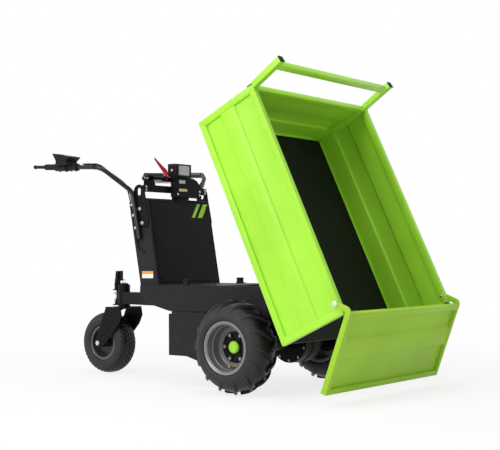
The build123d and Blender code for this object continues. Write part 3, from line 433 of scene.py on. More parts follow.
LIME = (0.4, 0.82, 0.045)
BLACK = (0.0075, 0.0075, 0.008)
CHARCOAL = (0.026, 0.0245, 0.028)
DRIVE_AXLE = pivot("drive_wheel_right_spin")
CASTOR_AXLE = pivot("castor_wheel_spin")


class Finish(Enum):
    """The finishes of the machine, each with its recipe."""

    LIME_PAINT = PowderCoat("lime_paint", LIME, 0.36, 0.2, 0.04, coat=0.03, gloss=0.3)
    BLACK_PAINT = PowderCoat("black_paint", BLACK, 0.36, 0.3, 0.03, coat=0.03)
    CHARCOAL_PAINT = PowderCoat("charcoal_paint", CHARCOAL, 0.5, 0.3, 0.03, coat=0.0)
    # both rims take a paler colour on the lip as a painted highlight
    DRIVE_RIM = WheelPaint("rim_paint", DRIVE_AXLE, 0.1145)
    CASTOR_RIM = WheelPaint("castor_rim_paint", CASTOR_AXLE, 0.088, (0.03, 0.031, 0.034), (0.1, 0.1, 0.104))
    DRIVE_TYRE = TyreRubber("tyre_rubber", DRIVE_AXLE, 0.203)
    CASTOR_TYRE = TyreRubber("castor_tyre_rubber", CASTOR_AXLE, 0.156)
    SOFT_RUBBER = SoftRubber("soft_rubber")
    BLACK_PLASTIC = MouldedPlastic("black_plastic", (0.01, 0.01, 0.011), gloss=0.12)
    LIME_PLASTIC = MouldedPlastic("lime_plastic", (0.36, 0.76, 0.04), 0.28, 0.1)
    RED_PLASTIC = MouldedPlastic("red_plastic", (0.56, 0.025, 0.03), 0.3, 0.12)
    WHITE_PLASTIC = MouldedPlastic("white_label", (0.8, 0.8, 0.78), 0.35, 0.05)
    ORANGE_PLASTIC = MouldedPlastic("orange_label", (0.85, 0.32, 0.03), 0.35, 0.05)
    LABEL_CREAM = MouldedPlastic("cream_label", (0.9, 0.76, 0.32), 0.35, 0.05)
    SCREEN = MouldedPlastic("dark_screen", (0.01, 0.014, 0.018), 0.1, 0.0)
    # near black: painted shade on the skip's floor, and the dark joint of the battery box's seam
    FLOOR_SHADE_AND_SEAM = PowderCoat("skip_floor_shade_and_box_seam", (0.01, 0.011, 0.0105), 0.42, 0.3, 0.05, gloss=0.05)
    # painted shade: the gate is the skip's lime, drawn darker and duller
    GATE_SHADED_LIME = PowderCoat("gate_lime_painted_shade", (0.38, 0.66, 0.038), 0.4, 0.2, 0.03, coat=0.0, gloss=0.15)
    CHROME_BALL = PlatedSteel("pin_steel", (0.8, 0.81, 0.82), 0.16, 0.1)
    BAR_PAINT = PowderCoat("bar_paint", (0.012, 0.0105, 0.011), 0.22, 0.1, 0.04, coat=0.2, gloss=0.25)
    ZINC = PlatedSteel("zinc_steel", (0.72, 0.73, 0.74), 0.28)
    BRASS = PlatedSteel("brass", (0.72, 0.52, 0.25), 0.25, 0.1)
    CHROME = PlatedSteel("rod_chrome", (0.86, 0.87, 0.88), 0.07, 0.05)
    ALLOY = PlatedSteel("lever_alloy", (0.36, 0.36, 0.37), 0.35, 0.15)
    LENS = LampLens("lamp_glass")

    @property
    def material(self) -> bpy.types.Material:
        """The finish's material, made once."""
        return bpy.data.materials.get(f"{self.value.name}_finish") or self.value.build()


# finish of every carried-over solid
CARRIED = {
    Finish.LIME_PAINT: ("skip_side_left", "skip_side_right", "skip_headboard", "skip_rack"),
    Finish.GATE_SHADED_LIME: ("tailgate",),
    # the skip's floor is drawn near black as painted shade
    Finish.FLOOR_SHADE_AND_SEAM: ("skip_floor",),
    Finish.LIME_PLASTIC: ("hub_cap_right", "hub_cap_left"),
    Finish.CHARCOAL_PAINT: ("chassis_frame", "rear_deck", "battery_box", "tower_housing"),
    Finish.BLACK_PAINT: ("drive_hub_right", "drive_hub_left", "castor_fork", "castor_arm", "swivel_lock",
                         "axle_housing", "drive_motor", "barrel_bracket", "tower_front_panel",
                         "handle_brackets", "tower_crossbar", "control_box", "skip_subframe",
                         "cylinder_barrel"),
    Finish.BAR_PAINT: ("handlebar_left", "handlebar_right"),
    Finish.BLACK_PLASTIC: ("work_lamp", "display_console", "skip_end_caps"),
    Finish.SOFT_RUBBER: ("rest_buffers", "hand_grips", "headboard_strip"),
    Finish.RED_PLASTIC: ("tip_lever",),
    Finish.DRIVE_TYRE: ("drive_tyre_right", "drive_tyre_left"),
    Finish.DRIVE_RIM: ("drive_rim_right", "drive_rim_left"),
    Finish.CASTOR_TYRE: ("castor_tyre",),
    Finish.CASTOR_RIM: ("castor_rim",),
    Finish.ZINC: ("castor_axle", "skip_hinge_pin", "tailgate_pins", "eye_pins"),
    Finish.ALLOY: ("brake_lever",),
    Finish.CHROME: ("cylinder_rod",),
    Finish.LENS: ("lamp_lens",),
}


class Dresser:
    """Gives the carried-over solids and the new pieces their finish and their body."""

    def __init__(self) -> None:
        """Starts with no piece."""
        self.pieces: list[bpy.types.Object] = []

    @staticmethod
    def dress_carried() -> None:
        """Puts its finish on every slot of each carried-over solid."""
        for finish, nodes in CARRIED.items():
            for mesh in (NODES[node].data for node in nodes):
                if not mesh.materials:
                    mesh.materials.append(finish.material)
                for slot in range(len(mesh.materials)):
                    mesh.materials[slot] = finish.material

    def add(self, piece: bpy.types.Object, body: str, finish: Finish, stands_for: Sequence[str] = ()) -> None:
        """Declares a new piece.

        Args:
            piece: The finished object.
            body: Body that it moves with.
            finish: Its finish.
            stands_for: Solids that it replaces.
        """
        if not piece.data.materials:
            piece.data.materials.append(finish.material)
        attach(piece, body)
        if stands_for:
            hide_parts(*stands_for)
        self.pieces.append(piece)
        log.info("%s rides on %s: %d faces", piece.name, body, len(piece.data.polygons))


DRESSER = Dresser()


# ---------------------------------------------------------------- mesh tools


def shown(name: str, data: bpy.types.ID) -> bpy.types.Object:
    """A new object of the scene that shows a mesh, a lamp or a camera."""
    made = bpy.data.objects.new(name, data)
    bpy.context.scene.collection.objects.link(made)
    return made


def shade(mesh: bpy.types.Mesh, smooth: float) -> None:
    """Makes a mesh look round across edges up to an angle in degrees."""
    mesh.shade_smooth()
    mesh.set_sharp_from_angle(angle=math.radians(smooth))


class Shape:
    """A mesh under construction, in metres of the machine's frame."""

    def __init__(self) -> None:
        """Starts an empty mesh."""
        self.bm = bmesh.new()

    def block(self, low: Point, high: Point, bevel: float = 0.0, turn: Optional[Matrix] = None) -> "Shape":
        """Adds a block with rounded edges.

        Args:
            low: Lowest corner.
            high: Highest corner.
            bevel: Radius of the edges.
            turn: Placement of the block, where its corners aren't in the machine's frame.

        Returns:
            The shape itself.
        """
        low, high = Vector(low), Vector(high)
        made = bmesh.ops.create_cube(self.bm, size=1.0)["verts"]
        size = high - low
        bmesh.ops.scale(self.bm, vec=size, verts=made)
        bmesh.ops.translate(self.bm, vec=(low + high) / 2, verts=made)
        if turn:
            bmesh.ops.transform(self.bm, matrix=turn, verts=made)
        if bevel:
            edges = list({edge for vert in made for edge in vert.link_edges})
            bmesh.ops.bevel(self.bm, geom=edges, offset=bevel, segments=2, affect="EDGES", profile=0.5)
        return self

    def turned(self, profile: Sequence[tuple[float, float]], centre: Point, axis: Point = (0, 1, 0),
               segments: int = 48, closed: bool = False) -> "Shape":
        """Adds a body turned about an axis.

        Args:
            profile: Distance along the axis and radius, from one end to the other.
            centre: Where the axis starts.
            axis: Its direction.
            segments: Steps round the axis.
            closed: Whether the profile's last point is joined to its first.

        Returns:
            The shape itself.
        """
        centre, along = Vector(centre), Vector(axis).normalized()
        across = along.orthogonal().normalized()
        other = along.cross(across)
        rings = []
        for out, radius in profile:
            if radius < 1e-6:
                rings.append([self.bm.verts.new(centre + along * out)])
                continue
            ring = []
            for step in range(segments):
                angle = 2 * math.pi * step / segments
                spoke = across * math.cos(angle) + other * math.sin(angle)
                ring.append(self.bm.verts.new(centre + along * out + spoke * radius))
            rings.append(ring)
        for first, second in zip(rings, rings[1:] + (rings[:1] if closed else [])):
            for step in range(segments):
                a, b = first[step % len(first)], first[(step + 1) % len(first)]
                c, d = second[(step + 1) % len(second)], second[step % len(second)]
                corners = [a, b, c, d]
                face = [v for i, v in enumerate(corners) if v not in corners[:i]]
                if len(face) > 2:
                    self.bm.faces.new(face)
        return self

    def swept(self, path: Sequence[Point], radius: float, segments: int = 10,
              flat: float = 1.0) -> "Shape":
        """Adds a closed tube along a path.

        Args:
            path: Points of the path.
            radius: Radius of the tube.
            segments: Steps round the tube.
            flat: Height of the section over its width.

        Returns:
            The shape itself.
        """
        points = [Vector(p) for p in path]
        rings = []
        side = None
        for index, point in enumerate(points):
            before = points[max(index - 1, 0)]
            after = points[min(index + 1, len(points) - 1)]
            along = (after - before).normalized()
            if side is None:
                side = along.orthogonal().normalized()
            else:
                side = (side - along * side.dot(along)).normalized()
            up = along.cross(side)
            ring = []
            for step in range(segments):
                angle = 2 * math.pi * step / segments
                ring.append(self.bm.verts.new(point + side * radius * math.cos(angle)
                                              + up * radius * flat * math.sin(angle)))
            rings.append(ring)
        self.bridge(rings, flip=True)
        return self

    def bridge(self, rings: Sequence[Sequence[bmesh.types.BMVert]], flip: bool = False) -> None:
        """Joins closed rings of vertices one after another and caps both ends.

        Args:
            rings: Rings with the same number of vertices.
            flip: Whether the last ring's cap runs as its ring does, and the first one's against it.
        """
        for first, second in zip(rings, rings[1:]):
            for a, b, c, d in zip(first, first[1:] + first[:1], second[1:] + second[:1], second):
                self.bm.faces.new((a, b, c, d))
        near, far = (rings[-1], rings[0]) if flip else (rings[0], rings[-1])
        self.bm.faces.new(near)
        self.bm.faces.new(list(reversed(far)))

    def plate(self, outline: Sequence[Point], thickness: Point) -> "Shape":
        """Adds a flat plate: its outline, and the vector from one face to the other."""
        near = [self.bm.verts.new(Vector(p)) for p in outline]
        far = [self.bm.verts.new(Vector(p) + Vector(thickness)) for p in outline]
        self.bm.faces.new(list(reversed(near)))
        self.bm.faces.new(far)
        for i, vert in enumerate(near):
            j = (i + 1) % len(near)
            self.bm.faces.new((vert, near[j], far[j], far[i]))
        return self

    def piece(self, name: str, body: str, finish: Finish, stands_for: Sequence[str] = (),
              smooth: float = 35.0) -> None:
        """Ends the shape as a piece of the machine.

        Args:
            name: Name of the piece.
            body: Body that it moves with.
            finish: Its finish.
            stands_for: Solids that it replaces.
            smooth: Angle in degrees up to which edges look round.
        """
        DRESSER.add(self.done(name, smooth), body, finish, stands_for)

    def rounded_plate(self, outline: Sequence[Point], thickness: Point, corner: float) -> None:
        """Adds a flat plate whose edges are rounded by a radius."""
        before = set(self.bm.edges)
        self.plate(outline, thickness)
        fresh = [edge for edge in self.bm.edges if edge not in before]
        bmesh.ops.recalc_face_normals(self.bm, faces=list({f for e in fresh for f in e.link_faces}))
        bmesh.ops.bevel(self.bm, geom=fresh, offset=corner, segments=2, affect="EDGES", profile=0.5)

    def done(self, name: str, smooth: float = 35.0) -> bpy.types.Object:
        """Turns the shape into an object at the origin.

        Args:
            name: Name of the object.
            smooth: Angle in degrees up to which edges look round.

        Returns:
            The new object.
        """
        bmesh.ops.remove_doubles(self.bm, verts=self.bm.verts, dist=1e-6)
        bmesh.ops.recalc_face_normals(self.bm, faces=self.bm.faces)
        mesh = bpy.data.meshes.new(name)
        self.bm.to_mesh(mesh)
        self.bm.free()
        shade(mesh, smooth)
        return shown(name, mesh)


def mitred(start: float, end: float, top: float, bar: float) -> tuple:
    """Corners of a frame's four mitred tubes: along one level edge, the other, and both ends."""
    return (((start, 0), (end, 0), (end - bar, bar), (start + bar, bar)),
            ((start, top), (end, top), (end - bar, top - bar), (start + bar, top - bar)),
            ((start, 0), (start, top), (start + bar, top - bar), (start + bar, bar)),
            ((end, 0), (end, top), (end - bar, top - bar), (end - bar, bar)))


def smooth_path(points: Sequence[Point], steps: int = 8) -> list[Vector]:
    """A smooth line through points, with a few steps between each two of them."""
    p = [Vector(q) for q in points]
    p = [2 * p[0] - p[1], *p, 2 * p[-1] - p[-2]]
    line = []
    for a, b, c, d in zip(p, p[1:], p[2:], p[3:]):
        for step in range(steps):
            t = step / steps
            line.append(0.5 * (2 * b + (c - a) * t + (2 * a - 5 * b + 4 * c - d) * t * t
                               + (3 * b - a - 3 * c + d) * t ** 3))
    return line + [p[-2]]


# ---------------------------------------------------------------- geometry nodes


class Pattern:
    """A geometry-node tree with named inputs, made plain on one object at a time."""

    def __init__(self, name: str, inputs: Iterable[tuple[str, str]]) -> None:
        """Starts a tree.

        Args:
            name: Name of the tree.
            inputs: Name and socket type of each input after the geometry.
        """
        self.tree = bpy.data.node_groups.new(name, "GeometryNodeTree")
        face = self.tree.interface
        face.new_socket("Geometry", in_out="INPUT", socket_type="NodeSocketGeometry")
        self.ids = {label: face.new_socket(label, in_out="INPUT", socket_type=kind).identifier
                    for label, kind in inputs}
        face.new_socket("Geometry", in_out="OUTPUT", socket_type="NodeSocketGeometry")
        self.given = self.tree.nodes.new("NodeGroupInput").outputs
        self.result = self.tree.nodes.new("NodeGroupOutput").inputs[0]

    def node(self, kind: str, settings: Optional[dict] = None, inputs: Optional[dict] = None,
             output: Union[int, str] = 0) -> bpy.types.NodeSocket:
        """Adds one node and returns one of its outputs."""
        made = self.tree.nodes.new(kind)
        for key, value in (settings or {}).items():
            setattr(made, key, value)
        for key, value in (inputs or {}).items():
            if isinstance(value, bpy.types.NodeSocket):
                self.tree.links.new(value, made.inputs[key])
            else:
                made.inputs[key].default_value = value
        return made.outputs[output]

    def end(self, instances: bpy.types.NodeSocket, material: bpy.types.NodeSocket) -> None:
        """Ends the tree: instances made real, then their material."""
        real = self.node("GeometryNodeRealizeInstances", inputs={"Geometry": instances})
        dressed = self.node("GeometryNodeSetMaterial", inputs={"Geometry": real, "Material": material})
        self.tree.links.new(dressed, self.result)

    def run(self, seed: bpy.types.Object, smooth: float, **values: object) -> bpy.types.Object:
        """Runs the tree on an object and keeps the result as a plain mesh.

        Args:
            seed: Object whose mesh feeds the tree.
            smooth: Angle in degrees up to which edges look round.
            values: The inputs, by name.

        Returns:
            The same object with the new mesh.
        """
        modifier = seed.modifiers.new("pattern", "NODES")
        modifier.node_group = self.tree
        for label, value in values.items():
            modifier[self.ids[label]] = value
        graph = bpy.context.evaluated_depsgraph_get()
        mesh = bpy.data.meshes.new_from_object(seed.evaluated_get(graph), preserve_all_data_layers=True,
                                               depsgraph=graph)
        seed.modifiers.clear()
        seed.data = mesh
        shade(mesh, smooth)
        return seed


def ring_pattern() -> Pattern:
    """Copies of one shape round an axis along Y, turned by equal steps."""
    made = Pattern("ring_of_copies", (("Count", "NodeSocketInt"), ("Centre", "NodeSocketVector"),
                                      ("Finish", "NodeSocketMaterial")))
    line = made.node("GeometryNodeMeshLine", {"mode": "OFFSET"},
                     {"Count": made.given["Count"], "Start Location": made.given["Centre"],
                      "Offset": (0.0, 0.0, 0.0)})
    index = made.node("GeometryNodeInputIndex")
    share = made.node("ShaderNodeMath", {"operation": "DIVIDE"}, {0: index, 1: made.given["Count"]})
    angle = made.node("ShaderNodeMath", {"operation": "MULTIPLY"}, {0: share, 1: 2 * math.pi})
    turn = made.node("ShaderNodeCombineXYZ", inputs={"Y": angle})
    copies = made.node("GeometryNodeInstanceOnPoints",
                       inputs={"Points": line, "Instance": made.given["Geometry"], "Rotation": turn})
    made.end(copies, made.given["Finish"])
    return made


def row_pattern() -> Pattern:
    """Copies of one shape in a straight row."""
    made = Pattern("row_of_copies", (("Count", "NodeSocketInt"), ("Step", "NodeSocketVector"),
                                     ("Finish", "NodeSocketMaterial")))
    line = made.node("GeometryNodeMeshLine", {"mode": "OFFSET"},
                     {"Count": made.given["Count"], "Offset": made.given["Step"]})
    copies = made.node("GeometryNodeInstanceOnPoints",
                       inputs={"Points": line, "Instance": made.given["Geometry"]})
    made.end(copies, made.given["Finish"])
    return made


def fastener_pattern() -> Pattern:
    """A hexagon bolt head on its washer at each point, facing along the point's attribute."""
    made = Pattern("bolt_heads", (("Radius", "NodeSocketFloat"), ("Seed", "NodeSocketInt"),
                                  ("Finish", "NodeSocketMaterial")))
    radius = made.given["Radius"]
    # head's height, washer's thickness, washer's radius and head's lift, as shares of the head's radius
    height, thin, wide, lift = (made.node("ShaderNodeMath", {"operation": "MULTIPLY"}, {0: radius, 1: share})
                                for share in (0.75, 0.22, 1.45, 0.5))
    head = made.node("GeometryNodeMeshCylinder", inputs={"Vertices": 6, "Radius": radius, "Depth": height},
                     output="Mesh")
    washer = made.node("GeometryNodeMeshCylinder", inputs={"Vertices": 20, "Radius": wide, "Depth": thin},
                       output="Mesh")
    raised = made.node("GeometryNodeTransform", inputs={
        "Geometry": head, "Translation": made.node("ShaderNodeCombineXYZ", inputs={"Z": lift})})
    bolt = made.tree.nodes.new("GeometryNodeJoinGeometry")
    made.tree.links.new(washer, bolt.inputs[0])
    made.tree.links.new(raised, bolt.inputs[0])
    facing = made.node("GeometryNodeInputNamedAttribute", {"data_type": "FLOAT_VECTOR"}, {"Name": "facing"})
    align = made.node("FunctionNodeAlignRotationToVector", {"axis": "Z"}, {"Vector": facing})
    spin = made.node("FunctionNodeRandomValue", {"data_type": "FLOAT"},
                     {2: 0.0, 3: math.pi / 3, "Seed": made.given["Seed"]}, output=1)
    about = made.node("ShaderNodeCombineXYZ", inputs={"Z": spin})
    turned = made.node("FunctionNodeRotateRotation", {"rotation_space": "LOCAL"},
                       {"Rotation": align, "Rotate By": about})
    copies = made.node("GeometryNodeInstanceOnPoints", inputs={
        "Points": made.given["Geometry"], "Instance": bolt.outputs[0], "Rotation": turned})
    made.end(copies, made.given["Finish"])
    return made


RING = ring_pattern()
ROW = row_pattern()
FASTENERS = fastener_pattern()


def row_of(seed: bpy.types.Object, body: str, finish: Finish, count: int, step: Point,
           smooth: float = 35.0) -> None:
    """Declares a straight row of copies as one piece.

    Args:
        seed: First copy, whose name the piece keeps.
        body: Body that the row moves with.
        finish: Its finish.
        count: Number of copies.
        step: Way from one copy to the next.
        smooth: Angle in degrees up to which edges look round.
    """
    DRESSER.add(ROW.run(seed, smooth, Count=count, Step=tuple(step), Finish=finish.material), body, finish)


def bolts(name: str, body: str, places: Sequence[tuple[Point, Point]], radius: float,
          finish: Finish = Finish.ZINC) -> None:
    """Puts bolt heads on a body.

    Args:
        name: Name of the piece.
        body: Body that it moves with.
        places: Foot of each bolt and the way it faces.
        radius: Radius of a head.
        finish: Finish of the bolts.
    """
    mesh = bpy.data.meshes.new(name)
    mesh.from_pydata([tuple(Vector(p)) for p, _ in places], [], [])
    facing = mesh.attributes.new("facing", "FLOAT_VECTOR", "POINT")
    for row, (_, way) in zip(facing.data, places):
        row.vector = Vector(way).normalized()
    piece = FASTENERS.run(shown(name, mesh), 25.0, Radius=radius, Seed=7, Finish=finish.material)
    DRESSER.add(piece, body, finish)


def joined(name: str, parts: Sequence[bpy.types.Object], smooth: float = 35.0) -> bpy.types.Object:
    """Puts several objects of one finish together in one mesh.

    Args:
        name: Name of the result.
        parts: Objects that are used up.
        smooth: Angle in degrees up to which edges look round.

    Returns:
        The joined object.
    """
    bm = bmesh.new()
    for part in parts:
        bm.from_mesh(part.data)
    mesh = bpy.data.meshes.new(name)
    bm.to_mesh(mesh)
    bm.free()
    for part in parts:
        bpy.data.objects.remove(part)
    shade(mesh, smooth)
    return shown(name, mesh)


@dataclass(frozen=True)
class Slant:
    """A tilted frame of the machine: an origin and two directions square to the machine's Y."""

    origin: Vector
    along: Vector
    up: Vector

    def at(self, along: float, y: float, up: float) -> Vector:
        """A point of the frame, in the machine's own frame."""
        return self.origin + self.along * along + self.up * up + Vector((0, y, 0))

    @property
    def matrix(self) -> Matrix:
        """Placement of a shape drawn in this frame."""
        columns = (*self.along, 0), (0, 1, 0, 0), (*self.up, 0), (*self.origin, 1)
        return Matrix(columns).transposed()


def slanted(origin: Vector, degrees: float) -> Slant:
    """A frame whose X dips by an angle under the level."""
    turn = math.radians(degrees)
    return Slant(origin, Vector((math.cos(turn), 0, -math.sin(turn))),
                 Vector((math.sin(turn), 0, math.cos(turn))))


SKIP_HINGE = pivot("skip_tip")
SKIP = slanted(SKIP_HINGE, 65.0)
SKIP = Slant(SKIP_HINGE - SKIP.along * 0.729, SKIP.along, SKIP.up)
GATE = slanted(pivot("gate_swing"), 20.6)
TOWER = slanted(Vector((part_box("tower_housing")[1].x, 0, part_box("tower_housing")[0].z)), -10.0)
BAR_BEND = Vector((-0.4757, 0, 1.017))
BAR_SLOPE = math.radians(3.3)
BAR = Slant(BAR_BEND, Vector((-math.cos(BAR_SLOPE), 0, math.sin(BAR_SLOPE))),
            Vector((math.sin(BAR_SLOPE), 0, math.cos(BAR_SLOPE))))


# ---------------------------------------------------------------- drive wheels


@dataclass
class DriveWheel:
    """A drive wheel: lugged tyre, dished rim, hub with bolts, valve and cap."""

    side: str
    radius: float = 0.203
    lug_count: int = 14
    lug_skew: float = 38.0
    lug_crest: float = 0.0074
    lug_root: float = 0.01
    bolt_count: int = 6
    bolt_circle: float = 0.056
    # carcass: distance from the middle plane, depth under the lugs' tips
    carcass: tuple = mm((0, 13), (18, 14.5), (34, 19), (48, 25.8), (60, 33.8), (70, 43.5), (78, 54.8),
                        (81.5, 63), (82.4, 70.5), (81.2, 73.8), (82.4, 76.5), (80.8, 80), (78.4, 84.5),
                        (76.5, 86.2), (69.2, 86.3), (69, 101.7))
    # lug: distance from the middle plane, depth of its crest, depth of its buried root
    lug: tuple = mm((-6, 0.6, 16), (12, 0.6, 17), (26, 3.6, 20.5), (40, 9.4, 26.5), (53, 18.5, 34.5),
                    (64, 29, 44), (73, 41.5, 54.5), (77.5, 50, 62))
    # rim: distance outwards from the middle plane, radius
    rim: tuple = mm((2.2, 68), (2.2, 82), (4.5, 87.5), (11, 91.2), (38, 92.2), (40, 93.5), (41.5, 96.2),
                    (44, 97.2), (66, 97.6), (70, 99), (72.2, 103), (73.5, 108.5), (75, 111), (75, 113),
                    (73.8, 114.5), (71.5, 114.6), (69.6, 113.5), (69.3, 101), (-69.3, 101), (-69.6, 114),
                    (-74, 114.6), (-75, 112), (-72.5, 100), (-69, 97.2), (-5.8, 97), (-5.8, 68))

    @property
    def hand(self) -> int:
        """Which way is outwards along Y."""
        return 1 if self.side == "left" else -1

    @property
    def centre(self) -> Vector:
        """Middle of the wheel."""
        return pivot(f"drive_wheel_{self.side}_spin")

    def tread_point(self, out: float, depth: float, across: float, turn: float) -> Vector:
        """A point of a lug, from the wheel's middle."""
        angle = (abs(out) * math.tan(math.radians(self.lug_skew)) + across) / self.radius + turn
        reach = self.radius - depth
        return Vector((reach * math.sin(angle), out, -reach * math.cos(angle)))

    def one_lug(self, shape: Shape, hand: int, turn: float) -> None:
        """Adds one lug of a half of the tread."""
        rings = []
        for out, crest, root in self.lug:
            taper = 0.88 if out > 0.075 else 1.0
            section = ((-self.lug_root, root), (-self.lug_crest - 0.0012, crest + 0.0022),
                       (-self.lug_crest * taper, crest), (self.lug_crest * taper, crest),
                       (self.lug_crest + 0.0012, crest + 0.0022), (self.lug_root, root))
            ring = []
            for across, depth in section:
                skewed = self.tread_point(max(out, 0.0), depth, across + min(out, 0.0) * 0.78, turn)
                skewed.y = out * hand
                ring.append(shape.bm.verts.new(skewed))
            rings.append(ring)
        shape.bridge(rings)

    def tyre(self) -> None:
        """Builds the tyre: a smooth carcass with two rings of slanted lugs."""
        body = Shape().turned(both_halves(self.carcass, self.radius), self.centre, segments=84,
                              closed=True).done("carcass")
        lugs = Shape()
        self.one_lug(lugs, -1, 0.0)
        self.one_lug(lugs, 1, math.pi / self.lug_count)
        ring = RING.run(lugs.done("lugs", 30.0), 30.0, Count=self.lug_count, Centre=self.centre,
                        Finish=Finish.DRIVE_TYRE.material)
        tyre = joined(f"tyre_{self.side}", (body, ring), 40.0)
        DRESSER.add(tyre, f"drive_wheel_{self.side}", Finish.DRIVE_TYRE, (f"drive_tyre_{self.side}",))

    def rim_and_hub(self) -> None:
        """Builds the rolled rim, the hub's spider, its bolts and the valve."""
        body = f"drive_wheel_{self.side}"
        profile = [(self.hand * out, radius) for out, radius in self.rim]
        rim = Shape().turned(profile, self.centre, segments=72, closed=True).done(f"rim_{self.side}", 28.0)
        DRESSER.add(rim, body, Finish.DRIVE_RIM, (f"drive_rim_{self.side}",))

        arm = Shape()
        face = 0.0042 * self.hand
        foot = -0.0015 * self.hand
        arm.turned(((foot, 0.0), (foot, 0.0118), (face - 0.001 * self.hand, 0.0118), (face, 0.0105),
                    (face, 0.0)), (self.bolt_circle, 0, 0), segments=20)
        arm.plate([(0.028, foot, -0.0095), (self.bolt_circle, foot, -0.0105),
                   (self.bolt_circle, foot, 0.0105), (0.028, foot, 0.0095)], (0, face - foot, 0))
        spider = RING.run(arm.done(f"hub_spider_{self.side}"), 30.0, Count=self.bolt_count,
                          Centre=self.centre, Finish=Finish.BLACK_PAINT.material)
        DRESSER.add(spider, body, Finish.BLACK_PAINT)

        places = []
        for step in range(self.bolt_count):
            angle = 2 * math.pi * step / self.bolt_count
            spoke = Vector((math.cos(angle), 0, -math.sin(angle))) * self.bolt_circle
            places.append((self.centre + spoke + Vector((0, face, 0)), (0, self.hand, 0)))
        bolts(f"hub_bolts_{self.side}", body, places, 0.005, Finish.ALLOY)

        foot = self.centre + Vector((0, 0.004 * self.hand, -0.0825))
        valve = Shape()
        valve.turned(mm((0, 6.8), (3, 6.8), (5, 4.5), (18, 4), (18, 3.2), (26, 3.2), (26, 4.6), (38, 4.6),
                        (40, 3.6), (40, 0)),
                     foot, (0, self.hand, 0.06), segments=16)
        valve.piece(f"valve_{self.side}", body, Finish.BRASS)

        cap = self.centre + Vector((0, 0.018 * self.hand, 0))
        disc = Shape().turned(mm((-4, 0), (-4, 15), (0.3, 15), (0.9, 14.2), (1.2, 0)),
                              cap, (0, self.hand, 0), segments=40)
        disc.piece(f"cap_face_{self.side}", body, Finish.LIME_PLASTIC)

    def build(self) -> None:
        """Builds the wheel."""
        self.tyre()
        self.rim_and_hub()


def both_halves(carcass: Sequence[tuple[float, float]], radius: float) -> list[tuple[float, float]]:
    """A tyre's whole profile from the table of one half: distance outwards and radius."""
    half = [(out, radius - depth) for out, depth in carcass]
    return [(-out, reach) for out, reach in reversed(half[1:])] + half


# ---------------------------------------------------------------- castor


